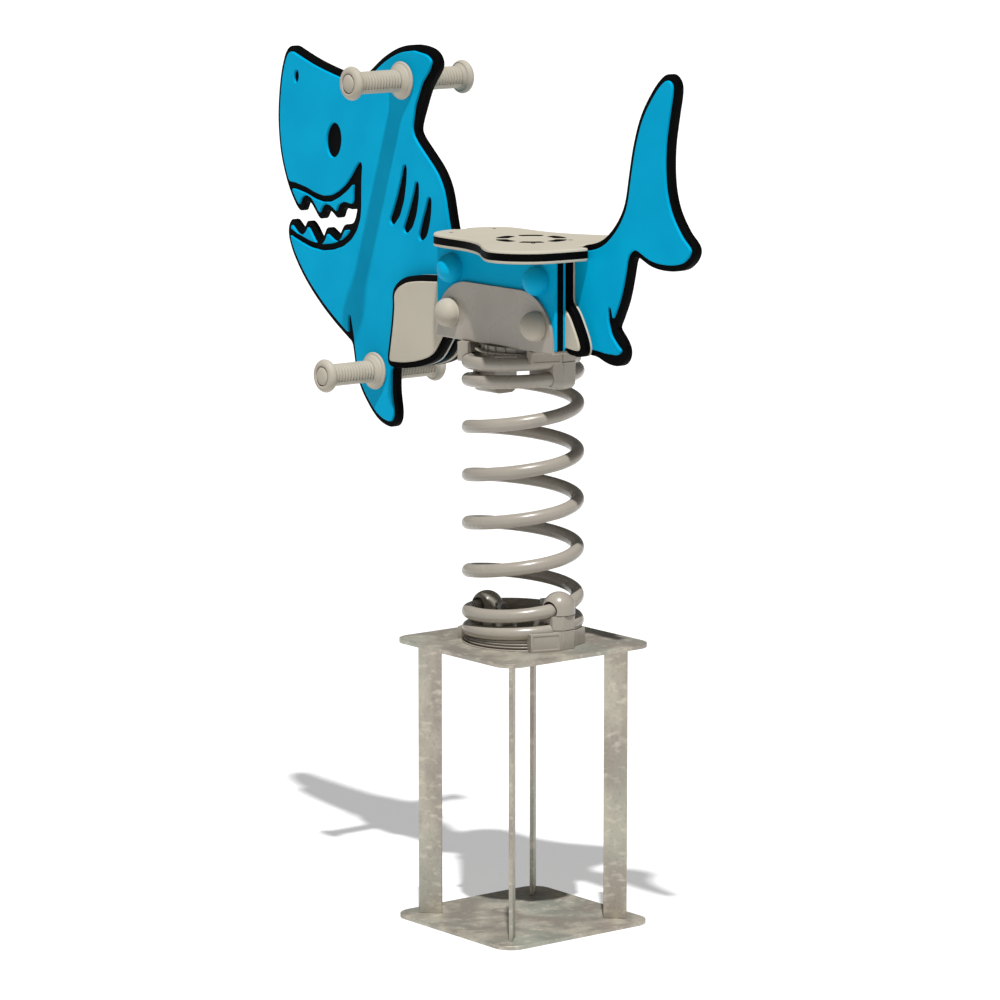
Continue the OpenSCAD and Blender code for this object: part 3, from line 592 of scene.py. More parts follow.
def lathe(bm: BMesh, profile: Profile, foot: Vector, axis: Vector, segments: int = 64) -> None:
    """Spin a profile once round an axis.

    Args:
        bm: Mesh to add to.
        profile: Pairs of radius and height above the foot, in metres.
        foot: Point of the axis at height 0.
        axis: Direction of the height.
        segments: Faces round the axis.
    """
    out = axis.orthogonal().normalized()
    verts = [bm.verts.new(foot + out * r + axis * h) for r, h in profile]
    edges = [bm.edges.new(pair) for pair in zip(verts, verts[1:])]
    bmesh.ops.spin(
        bm, geom=verts + edges, cent=foot, axis=axis, angle=2 * math.pi, steps=segments, use_merge=True,
        use_duplicate=False,
    )


def sweep(
    bm: BMesh, corners: Sequence[Vector], middle: Vector, axis: Vector, angle_deg: float, steps: int,
    rise: float = 0.0,
) -> None:
    """Sweep a closed outline part of the way round an axis and close both its ends.

    Args:
        bm: Mesh to add to.
        corners: Corners of the outline at its start.
        middle: Point of the axis.
        axis: Direction of the axis.
        angle_deg: How far it is swept.
        steps: Steps on the way.
        rise: Rise along the axis at each step.
    """
    verts = [bm.verts.new(corner) for corner in corners]
    edges = [bm.edges.new(pair) for pair in zip(verts, verts[1:] + verts[:1])]
    swept = bmesh.ops.spin(
        bm, geom=verts + edges, cent=middle, axis=axis, dvec=axis * rise, angle=math.radians(angle_deg),
        steps=steps, use_merge=False, use_duplicate=False,
    )["geom_last"]
    for loop in (edges, only(BMEdge, swept)):
        bmesh.ops.edgeloop_fill(bm, edges=loop)


def about_z(deg: float) -> Matrix:
    """Turn by an angle round the upright axis."""
    return Matrix.Rotation(math.radians(deg), 4, "Z")


def only(kind: type, geom: Iterable[object]) -> list:
    """Pick the parts of one kind from what a mesh operator gives back."""
    return [part for part in geom if isinstance(part, kind)]


def foot_of(low: Vector, high: Vector) -> tuple[Vector, Vector]:
    """Find where a solid beside the panel starts.

    Args:
        low: Lowest corner of its box.
        high: Highest corner of its box.

    Returns:
        Middle of its end at the panel, and its direction.
    """
    middle = (low + high) / 2
    way = 1 if middle.y > 0 else -1
    return Vector((middle.x, low.y if way > 0 else high.y, middle.z)), SIDE * way


def scaled(profile: Profile) -> Profile:
    """Turn a profile in millimetres into metres."""
    return [(r * MM, h * MM) for r, h in profile]


def soften(
    bm: BMesh, width: float, segments: int = 2, edges: Iterable[BMEdge] | None = None,
    bend_deg: float = 30,
) -> None:
    """Round the sharp edges of a mesh.

    Args:
        bm: Mesh with flat faces joined.
        width: Width of the rounding.
        segments: Faces across the rounding.
        edges: Edges to round, or None for every sharp one.
        bend_deg: Least bend of a sharp edge.
    """
    if edges is None:
        limit = math.radians(bend_deg)
        edges = [e for e in bm.edges if len(e.link_faces) == 2 and e.calc_face_angle() > limit]
    bmesh.ops.bevel(
        bm, geom=list(edges), offset=width, offset_type="OFFSET", segments=segments, profile=0.5,
        affect="EDGES", clamp_overlap=True, material=-1,
    )


def join(bm: BMesh, part: BMesh) -> None:
    """Add a part to a mesh.

    Args:
        bm: Mesh to add to.
        part: Mesh to add, freed here.
    """
    mesh = bpy.data.meshes.new("part")
    part.to_mesh(mesh)
    part.free()
    bm.from_mesh(mesh)
    bpy.data.meshes.remove(mesh)


def block(low: Vector, high: Vector) -> BMesh:
    """Make a box between two corners, to be shaped further.

    Args:
        low: Lowest corner.
        high: Highest corner.

    Returns:
        A new bmesh.
    """
    bm = bmesh.new()
    place = Matrix.Translation((low + high) / 2) @ Matrix.Diagonal((*(high - low), 1))
    bmesh.ops.create_cube(bm, size=1, matrix=place)
    return bm


def drop_tool(tool: Object) -> None:
    """Take a passing object away.

    Args:
        tool: Object to take away with its mesh.
    """
    mesh = tool.data
    bpy.data.objects.remove(tool)
    bpy.data.meshes.remove(mesh)


def carved(bm: BMesh, tool: Object) -> BMesh:
    """Carve a tool's shape out of a part.

    Args:
        bm: Closed part, freed here.
        tool: Passing object with the shape to take away.

    Returns:
        The carved part.
    """
    part = placed(bm, "part")
    cut = part.modifiers.new("cut", "BOOLEAN")
    cut.operation = "DIFFERENCE"
    cut.solver = "EXACT"
    cut.object = tool
    done = bmesh.new()
    done.from_object(part, bpy.context.evaluated_depsgraph_get())
    drop_tool(part)
    return done


def dress_node(node: str, finish: Finish) -> None:
    """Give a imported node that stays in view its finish.

    Args:
        node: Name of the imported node.
        finish: Its material.
    """
    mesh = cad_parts[node].data
    mesh.materials.clear()
    mesh.materials.append(finish.material())
    LOG.info("%s keeps its shape", node)


@dataclass
class SheetLayer:
    """A layer of bonded sheet, cut anew along its packed outline with eased corners and rounded rims."""

    node: str
    finish: Finish
    slot: Slot
    across: Across = Across.SIDEWAYS
    low_rim: float = 0.0
    high_rim: float = 0.0
    sunk: float = 0.0
    ease: int = 4
    step: float = 3 * MM
    arcs: int = 3
    flat_band: float = 0.3

    @property
    def name(self) -> str:
        """Name of the finished piece."""
        return f"{self.node}_sheet"

    @property
    def stands_for(self) -> list[str]:
        """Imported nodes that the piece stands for."""
        return [self.node]

    def build(self) -> None:
        """Recut every solid of the layer."""
        source = merged_copy(self.node)
        bm = bmesh.new()
        for solid in islands(source):
            join(bm, self._cut(solid))
        source.free()
        finished(bm, self.name, self.finish, Body.RIDER, self.stands_for)

    def _cut(self, solid: set[BMVert]) -> BMesh:
        """Cut one solid anew.

        Args:
            solid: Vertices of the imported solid.

        Returns:
            The recut solid.
        """
        k = self.across.value
        low = min(v.co[k] for v in solid)
        high = max(v.co[k] for v in solid)
        bm = self._outline(solid, low, high)
        axis = Vector((0, 0, 0))
        axis[k] = 1
        bmesh.ops.triangle_fill(bm, use_beauty=True, use_dissolve=False, edges=bm.edges[:], normal=axis)
        under = bm.faces[:]
        grown = bmesh.ops.extrude_face_region(bm, geom=under, use_keep_orig=True)["geom"]
        over = only(BMFace, grown)
        lift = high - low - self.low_rim - self.high_rim - self.sunk
        bmesh.ops.translate(bm, verts=only(BMVert, grown), vec=axis * lift)
        bmesh.ops.recalc_face_normals(bm, faces=bm.faces)
        self._round(bm, under, self.low_rim)
        self._round(bm, over, self.high_rim)
        return bm

    def _outline(self, solid: set[BMVert], low: float, high: float) -> BMesh:
        """Draw the eased outline of one solid at its lower rim.

        Args:
            solid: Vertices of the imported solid.
            low: Where its thickness starts.
            high: Where its thickness ends.

        Returns:
            A mesh of closed loops.
        """
        k = self.across.value
        flat = {f for v in solid for f in v.link_faces if all(abs(c.co[k] - high) < LEVEL for c in f.verts)}
        rim = {e for f in flat for e in f.edges if sum(g in flat for g in e.link_faces) == 1}
        bm = bmesh.new()
        twin = {}
        for vert in {v for e in rim for v in e.verts}:
            place = vert.co.copy()
            place[k] = low + self.low_rim
            twin[vert] = bm.verts.new(place)
        for edge in rim:
            bm.edges.new([twin[v] for v in edge.verts])
        self._ease(bm)
        return bm

    def _ease(self, bm: BMesh) -> None:
        """Divide the outline into short steps and ease its corners.

        Args:
            bm: Mesh of closed loops.
        """
        by_cuts = defaultdict(list)
        for edge in bm.edges:
            by_cuts[math.ceil(edge.calc_length() / self.step) - 1].append(edge)
        for cuts, edges in by_cuts.items():
            if cuts > 0:
                bmesh.ops.subdivide_edges(bm, edges=edges, cuts=cuts)
        for _ in range(self.ease):
            bmesh.ops.smooth_vert(
                bm, verts=bm.verts, factor=0.5, use_axis_x=True, use_axis_y=True, use_axis_z=True
            )

    def _round(self, bm: BMesh, faces: list[BMFace], radius: float) -> None:
        """Round the rim of a flat face by a row of insets.

        Args:
            bm: Mesh of the layer.
            faces: Faces of one side.
            radius: Radius of the rim, or 0 for a sharp one.
        """
        if radius <= 0:
            return
        turns = [math.pi / 2 * i / self.arcs for i in range(self.arcs + 1)]
        for a, b in zip(turns, turns[1:]):
            bmesh.ops.inset_region(
                bm, faces=faces, use_boundary=True, use_even_offset=False,
                thickness=radius * (math.cos(a) - math.cos(b)), depth=radius * (math.sin(b) - math.sin(a)),
            )
        bmesh.ops.inset_region(
            bm, faces=faces, use_boundary=True, use_even_offset=False,
            thickness=self.flat_band * radius, depth=0,
        )


@dataclass
class SlotFloors(SheetLayer):
    """Black core that fills the slots of a skin nearly to its face."""

    least: float = 12 * MM
    most: float = 120 * MM

    @property
    def name(self) -> str:
        """Name of the finished piece."""
        return f"{self.node}_slot_floors"

    @property
    def stands_for(self) -> list[str]:
        """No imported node: the skin and the core stand for themselves."""
        return []

    def _outline(self, solid: set[BMVert], low: float, high: float) -> BMesh:
        """Draw the slots alone, without the skin's own outline and its screw holes.

        Args:
            solid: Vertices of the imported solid.
            low: Where its thickness starts.
            high: Where its thickness ends.

        Returns:
            A mesh of closed loops.
        """
        bm = super()._outline(solid, low, high)
        for loop in islands(bm):
            reach = max(max(v.co[k] for v in loop) - min(v.co[k] for v in loop) for k in range(3))
            if not self.least < reach < self.most:
                bmesh.ops.delete(bm, geom=list(loop), context="VERTS")
        return bm


@dataclass
class SheetBody:
    """Shark panel, hip plates, side plates and seat, all of three-layer sheet."""

    skin_rim: float = 1.6 * MM
    core_rim: float = 0.8 * MM
    seat_rim: float = 2.6 * MM
    slot_depth: float = 0.25 * MM

    def build(self) -> None:
        """Recut every layer of the body."""
        rims = {"low_rim": self.skin_rim, "high_rim": self.skin_rim}
        core = {"low_rim": self.core_rim, "high_rim": self.core_rim}
        blue, black = (BLUE_SHEET, Slot.BLUE_SHEET), (BLACK_CORE, Slot.BLACK_SHEET)
        beige = (BEIGE_SHEET, Slot.BEIGE_SHEET)
        for side, outward in (("left", "high_rim"), ("right", "low_rim")):
            outer = {outward: self.skin_rim}
            SheetLayer(f"body_skin_{side}", *blue, **outer).build()
            SheetLayer(f"hip_skins_{side}", *beige, **rims).build()
            SheetLayer(f"side_skins_{side}", *blue, ease=1, **outer).build()
            SheetLayer(f"hip_core_{side}", *black, **core).build()
            SheetLayer(f"side_core_{side}", *black, ease=1).build()
        SheetLayer("body_core", *black, **core).build()
        SheetLayer("seat_top_skin", *beige, Across.UPRIGHT, high_rim=self.seat_rim).build()
        SlotFloors("seat_top_skin", *black, Across.UPRIGHT, sunk=self.slot_depth).build()
        SheetLayer("seat_core", *black, Across.UPRIGHT).build()
        SheetLayer("seat_bottom_skin", *beige, Across.UPRIGHT, low_rim=self.skin_rim).build()


@dataclass
class CoilSpring:
    """One wire wound with close turns in the clamps and open turns between them."""

    coil_r: float = 81 * MM
    wire_r: float = 10 * MM
    foot_z: float = 443.2 * MM
    close_pitch: float = 25.5 * MM
    open_pitch: float = 72 * MM
    close_turns: float = 1.25
    ease_turns: float = 0.3
    turns: float = 7.5 + 24 / 360
    overrun_deg: float = 12
    clamp_turn_deg: float = 4.7
    tail: float = 20 * MM
    tail_edge: float = 1.5 * MM
    tail_taper: float = 0.85
    steps_per_turn: int = 72
    sides: int = 32
    sharp_deg: float = 60
    bend_low: tuple[float, float] = (0.50, 0.64)
    bend_high: tuple[float, float] = (0.66, 0.80)

    @property
    def start_deg(self) -> float:
        """Angle of the wire's lower end, from the front towards the rider's left."""
        return self.clamp_turn_deg - self.overrun_deg

    def height(self, t: float) -> float:
        """Height of the wire's middle after t turns from its lower end.

        Args:
            t: Turns wound.

        Returns:
            Height above the ground anchor's underside.
        """
        open_turns = self.turns - 2 * self.close_turns - self.ease_turns

        def eased(u: float) -> float:
            """Area under a smooth step from 0 to 1."""
            return 0.0 if u <= 0 else u - 0.5 if u >= 1 else u ** 3 - u ** 4 / 2

        grown = eased((t - self.close_turns) / self.ease_turns)
        lost = eased((t - self.close_turns - open_turns) / self.ease_turns)
        opened = (self.open_pitch - self.close_pitch) * self.ease_turns * (grown - lost)
        return self.foot_z + self.close_pitch * t + opened

    def wind(self, first: float, last: float, radius: float | None = None) -> BMesh:
        """Wind a stretch of the wire.

        Args:
            first: Turn at which it starts.
            last: Turn at which it ends.
            radius: Radius of the wire, its own unless given.

        Returns:
            A closed wire.
        """
        bm = bmesh.new()
        steps = round((last - first) * self.steps_per_turn)
        turn = (last - first) / steps
        place = (
            about_z(self.start_deg + 360 * first)
            @ Matrix.Translation((self.coil_r, 0, self.height(first)))
            @ Matrix.Rotation(math.pi / 2, 4, "X")
        )
        bmesh.ops.create_circle(bm, segments=self.sides, radius=radius or self.wire_r, matrix=place)
        start = bm.edges[:]
        ring = bm.verts[:] + start
        for i in range(steps):
            rise = self.height(first + (i + 1) * turn) - self.height(first + i * turn)
            ring = bmesh.ops.spin(
                bm, geom=ring, cent=(0, 0, 0), axis=UP, dvec=(0, 0, rise), angle=2 * math.pi * turn, steps=1,
                use_merge=False, use_duplicate=False,
            )["geom_last"]
        end = only(BMEdge, ring)
        if first <= 0:
            start = self._run_out(bm, start, first, -1)
        if last >= self.turns:
            end = self._run_out(bm, end, last, 1)
        for edges in (start, end):
            bmesh.ops.edgeloop_fill(bm, edges=edges)
        return bm

    def _run_out(self, bm: BMesh, edges: list[BMEdge], t: float, way: int) -> list[BMEdge]:
        """Let the wire run out straight at one of its ends.

        Args:
            bm: Mesh of the wire.
            edges: Open edges of the end.
            t: Turn of the end.
            way: 1 along the winding, -1 against it.

        Returns:
            The new open edges.
        """
        angle = math.radians(self.start_deg + 360 * t)
        slope = self.close_pitch / (2 * math.pi * self.coil_r)
        ahead = Vector((-math.sin(angle), math.cos(angle), slope)).normalized()
        for length, grow in ((self.tail - self.tail_edge, 1.0), (self.tail_edge, self.tail_taper)):
            grown = bmesh.ops.extrude_edge_only(bm, edges=edges)["geom"]
            verts = only(BMVert, grown)
            edges = only(BMEdge, grown)
            bmesh.ops.translate(bm, verts=verts, vec=ahead * length * way)
            middle = sum((v.co for v in verts), Vector()) / len(verts)
            bmesh.ops.scale(bm, verts=verts, vec=(grow, grow, grow), space=Matrix.Translation(-middle))
        return edges

    def build(self) -> None:
        """Wind the wire in a lower and an upper half."""
        half = self.turns / 2
        for name, first, last, a, b, bend in (
            ("spring_lower_half", 0.0, half, Body.ANCHOR, Body.SPRING, self.bend_low),
            ("spring_upper_half", half, self.turns, Body.SPRING, Body.RIDER, self.bend_high),
        ):
            wire = self.wind(first, last)
            piece = finished(wire, name, COAT, None, ["coil_spring"], self.sharp_deg)
            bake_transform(piece)


@dataclass
class GroundAnchor:
    """Two square plates on four flat bar legs, dipped in zinc.

    The lamp shines through the top plate, so that the legs under it stay light.
    """

    edge: float = 0.9 * MM
    lit_through: str = "anchor_top_plate"
    nodes: tuple[str, ...] = (
        "anchor_base_plate", "anchor_top_plate", "anchor_leg_front_left", "anchor_leg_front_right",
        "anchor_leg_rear_left", "anchor_leg_rear_right",
    )

    def build(self) -> None:
        """Round the edges of the plates and legs."""
        for node in self.nodes:
            bm = flat_faced_copy(node)
            soften(bm, self.edge)
            name = f"{node}_dipped"
            piece = finished(bm, name, ZINC_DIP, Body.ANCHOR, [node], flat_mm2=LARGE_MM2)
            piece.visible_shadow = node != self.lit_through


@dataclass
class SpringClamp:
    """A casting with two towers, and the jaws and caps that close the towers on the spring's close turns.

    The shapes are those of a clamp that stands on the plate below it. The upper clamp is turned over.
    """

    level: str
    body: Body
    plate_z: float
    base: float
    turned: bool
    spring: CoilSpring
    tower_in: float = 37 * MM
    tower_out: float = 95.6 * MM
    rear_more: float = 3.8 * MM
    tower_w: float = 45 * MM
    chamfer: float = 11 * MM
    edge: float = 0.8 * MM
    seam: float = 0.7 * MM
    skirt: float = 10 * MM
    crown: float = 16.5 * MM
    crown_round: float = 11.55 * MM
    dome_r: float = 24 * MM
    dome_h: float = 23.6 * MM
    dome_at: float = 78 * MM
    channel_r: float = 10.9 * MM
    hood_r: float = 14.2 * MM
    ring_in: float = 70 * MM
    ring_out: float = 84 * MM
    ring_slit_deg: float = 1.5
    wire_gap: float = 0.5 * MM
    ledges: tuple[tuple[float, float, float], ...] = ((90.5, 0.0, 1.8), (88.0, 4.6, 6.0), (87.0, 9.0, 10.2))
    ledge_edges: tuple[float, float] = (0.4, 0.5)
    pad_deg: float = 23
    pad_len: float = 48 * MM
    wall_pad_deg: float = 20
    wall_pad_out: float = 91.6 * MM
    wall_pad_drop: float = 6 * MM
    pad_in: float = 79 * MM
    pad_frame: float = 3 * MM
    pad_step: float = 0.8 * MM
    pad_sunk: float = 1.0 * MM
    ribs: int = 0
    rib_size: tuple[float, float] = (2.4 * MM, 3.2 * MM)
    rib_edge: float = 0.6 * MM
    turns_held: float = 1.9

    @property
    def place(self) -> Matrix:
        """Place of the clamp's own frame in the object's."""
        turn = Matrix.Rotation(math.pi if self.turned else 0, 4, "Y")
        return Matrix.Translation((0, 0, self.plate_z)) @ turn

    @property
    def turn_deg(self) -> float:
        """Angle of the first tower in the clamp's own frame."""
        return -self.spring.clamp_turn_deg if self.turned else self.spring.clamp_turn_deg

    def wire(self, t: float) -> float:
        """Height of the wire's middle over the plate.

        Args:
            t: Turns from the wire's end in this clamp.

        Returns:
            Height in the clamp's own frame.
        """
        if self.turned:
            return self.plate_z - self.spring.height(self.spring.turns - t)
        return self.spring.height(t) - self.plate_z

    def build(self) -> None:
        """Cast the seat, the jaws and the caps."""
        tools = [self._wire_tool(self.channel_r), self._wire_tool(self.hood_r)]
        seat = bmesh.new()
        join(seat, self._ring())
        join(seat, self._ledges())
        for k, end in enumerate(("rear", "front") if self.turned else ("front", "rear")):
            turn = 0.5 * k + self.spring.overrun_deg / 360
            first, second = self.wire(turn), self.wire(turn + 1)
            around = self.place @ about_z(180 * k + self.turn_deg)
            out = self.tower_out + (self.rear_more if end == "rear" else 0)
            join(seat, self._set(self._tower(out, 0, first - self.seam / 2), around, tools[0]))
            for pad in (
                self._pad(turn, 1 - 2 * k, self.pad_deg, out),
                self._pad(turn, 2 * k - 1, self.wall_pad_deg, self.wall_pad_out, self.wall_pad_drop),
            ):
                join(seat, self._set(pad, around, tools[0]))
            top = second + self.crown if self.turned else second - self.skirt - self.seam / 2
            jaw = self._set(self._tower(out, first + self.seam / 2, top, self.turned), around, tools[0])
            self._finish(jaw, f"jaw_{end}")
            self._finish(self._set(self._dome(second), around, tools[1]), f"cap_{end}")
        self._finish(seat, "spring_seat")
        for tool in tools:
            drop_tool(tool)

    def _finish(self, bm: BMesh, part: str) -> None:
        """Coat a part of the clamp."""
        node = f"{self.level}_{part}"
        finished(bm, f"{node}_cast", COAT, self.body, [node], flat_mm2=LARGE_MM2)

    def _wire_tool(self, radius: float) -> Object:
        """Wind the held turns as a tool that carves their channels.

        Args:
            radius: Radius of the channels.

        Returns:
            A passing object.
        """
        last = self.spring.turns
        first, last = (last - self.turns_held, last) if self.turned else (0.0, self.turns_held)
        return placed(self.spring.wind(first, last, radius), "tool")

    def _set(self, bm: BMesh, around: Matrix, tool: Object) -> BMesh:
        """Set a part of a tower in its place and carve the wire's channels in it."""
        bm.transform(around)
        return carved(bm, tool)

    def _tower(self, out: float, low: float, high: float, round_top: bool = False) -> BMesh:
        """Shape a stretch of a tower with chamfered outer corners.

        Args:
            out: How far its outer face is from the spring's axis.
            low: Height of its lower end.
            high: Height of its upper end.
            round_top: Round the outer edges of its upper end.

        Returns:
            The stretch with its outward side along +X.
        """
        half = self.tower_w / 2
        bm = block(Vector((self.tower_in, -half, low)), Vector((out, half, high)))
        corners = [
            e for e in bm.edges
            if all(v.co.x > out - NEAR for v in e.verts) and abs(e.verts[0].co.y - e.verts[1].co.y) < NEAR
        ]
        soften(bm, self.chamfer, 1, corners)
        if round_top:
            rim = [
                e for e in bm.edges
                if all(v.co.z > high - NEAR for v in e.verts)
                and any(v.co.x > self.tower_in + NEAR for v in e.verts)
            ]
            soften(bm, self.crown_round, 6, rim)
        soften(bm, self.edge, 2)
        return bm

    def _pad(self, turn: float, side: int, deg: float, out: float, drop: float = 0.0) -> BMesh:
        """Shape a pad that cups the wire beside a tower's foot.

        Args:
            turn: Turn at which the wire passes the tower.
            side: 1 on the side that the wire runs on to, -1 on the other.
            deg: How far the pad's middle is from the tower's.
            out: How far the pad's outer face is from the spring's axis.
            drop: How far the pad ends below the wire's middle. A pad that is dropped has a plain face.

        Returns:
            The pad with its tower's outward side along +X.
        """
        half = self.pad_len / 2
        top = self.wire(turn + side * deg / 360) - drop
        bm = block(Vector((self.pad_in, -half, 0)), Vector((out, half, top)))
        if not drop:
            bm.normal_update()
            front = [f for f in bm.faces if f.normal.x > 0.9]
            for width, depth in ((self.pad_frame, 0), (self.pad_step, -self.pad_sunk)):
                bmesh.ops.inset_region(bm, faces=front, use_even_offset=True, thickness=width, depth=depth)
        soften(bm, self.edge, 2)
        bm.transform(about_z(side * deg))
        return bm

    def _dome(self, second: float) -> BMesh:
        """Turn the round cap over the wire's second pass.

        Args:
            second: Height of the wire's middle there.

        Returns:
            The dome with its tower's outward side along +X.
        """
        bm = bmesh.new()
        foot = Vector((self.dome_at, 0, second))
        if self.turned:
            low, rise, side = 0.0, self.crown - NEAR, []
        else:
            low, rise = self.seam / 2 - self.skirt, self.dome_h
            side = [(self.dome_r - self.edge, low), (self.dome_r, low + self.edge)]
        lathe(bm, [(0.0, low)] + side + arc((0, 0), (self.dome_r, rise), 0, 90, 20), foot, UP)
        bmesh.ops.remove_doubles(bm, verts=bm.verts, dist=WELD)
        bmesh.ops.recalc_face_normals(bm, faces=bm.faces)
        return bm

    def _level_off(self, bm: BMesh, height: float) -> None:
        """Take away what lies below a height and close the cut.

        Args:
            bm: Closed mesh.
            height: Height of the cut.
        """
        everything = bm.verts[:] + bm.edges[:] + bm.faces[:]
        bmesh.ops.bisect_plane(bm, geom=everything, plane_co=(0, 0, height), plane_no=UP, clear_inner=True)
        bmesh.ops.holes_fill(bm, edges=[e for e in bm.edges if e.is_boundary], sides=0)

    def _ring(self) -> BMesh:
        """Sweep the wall that rises under the wire's first turn, with its ribs.

        Returns:
            The wall in its place.
        """
        bm = bmesh.new()
        low, high = -self.spring.close_pitch - LAP, self.wire(0) - self.spring.wire_r - self.wire_gap
        first_deg = self.turn_deg - self.spring.overrun_deg
        start = about_z(first_deg)
        corners = ((self.ring_in, low), (self.ring_out, low), (self.ring_out, high), (self.ring_in, high))
        steps = self.spring.steps_per_turn
        outline = [start @ Vector((r, 0, z)) for r, z in corners]
        rise = self.spring.close_pitch / steps
        sweep(bm, outline, Vector(), UP, 360 - self.ring_slit_deg, steps, rise)
        self._level_off(bm, 0)
        bmesh.ops.recalc_face_normals(bm, faces=bm.faces)
        for i in range(1, self.ribs):
            t = i / self.ribs
            depth, half = self.rib_size[0], self.rib_size[1] / 2
            rib = block(
                Vector((self.ring_out - LAP, -half, 0)),
                Vector((self.ring_out + depth, half, high + self.spring.close_pitch * t - LAP)),
            )
            soften(rib, self.rib_edge, 2)
            rib.transform(about_z(first_deg + 360 * t))
            join(bm, rib)
        bm.transform(self.place)
        return bm

    def _ledges(self) -> BMesh:
        """Turn the casting's floor, its foot flange and the thin ledges round its wall.

        Returns:
            The rings in their place.
        """
        bm = bmesh.new()
        origin = Vector((0, 0, 0))
        floor_r = self.ring_in + LAP
        lathe(bm, [(0.0, 0.0), (floor_r, 0.0), (floor_r, self.base), (0.0, self.base)], origin, UP, 96)
        for reach, low, high in self.ledges:
            inner = (self.ring_out - LAP) / MM
            under, over = self.ledge_edges
            loop = [
                (inner, low), (reach - under, low), (reach, low + under), (reach, high - over),
                (reach - over, high), (inner, high), (inner, low),
            ]
            lathe(bm, scaled(loop), origin, UP, 128)
        bm.transform(self.place)
        return bm


@dataclass
class SpringClamps:
    """The clamp on the ground anchor and the clamp under the saddle bracket."""

    def build(self) -> None:
        """Cast both clamps."""
        spring = CoilSpring()
        SpringClamp("lower", Body.ANCHOR, 428 * MM, 4.5 * MM, False, spring).build()
        SpringClamp(
            "upper", Body.RIDER, 874.5 * MM, 6 * MM, True, spring, ring_in=48 * MM, ring_out=60 * MM,
            ledges=((71.0, 7.4, 9.0),), ribs=22, dome_r=21.5 * MM,
        ).build()


@dataclass
class SaddleBracket:
    """Bent plate that carries the sheets on the upper casting."""

    bend: float = 3 * MM
    edge: float = 1.1 * MM
    least: float = 10 * MM
    node: str = "saddle_bracket"

    def build(self) -> None:
        """Round the two bends and then the cut edges."""
        bm = flat_faced_copy(self.node)
        low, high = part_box(self.node)
        bends = [
            e for e in bm.edges
            if all(abs(v.co.z - low.z) < NEAR and abs(abs(v.co.y) - high.y) < NEAR for v in e.verts)
            and abs(e.verts[0].co.x - e.verts[1].co.x) > self.least
        ]
        soften(bm, self.bend, 5, bends)
        soften(bm, self.edge, 2)
        finished(bm, f"{self.node}_bent", COAT, Body.RIDER, [self.node], flat_mm2=LARGE_MM2)


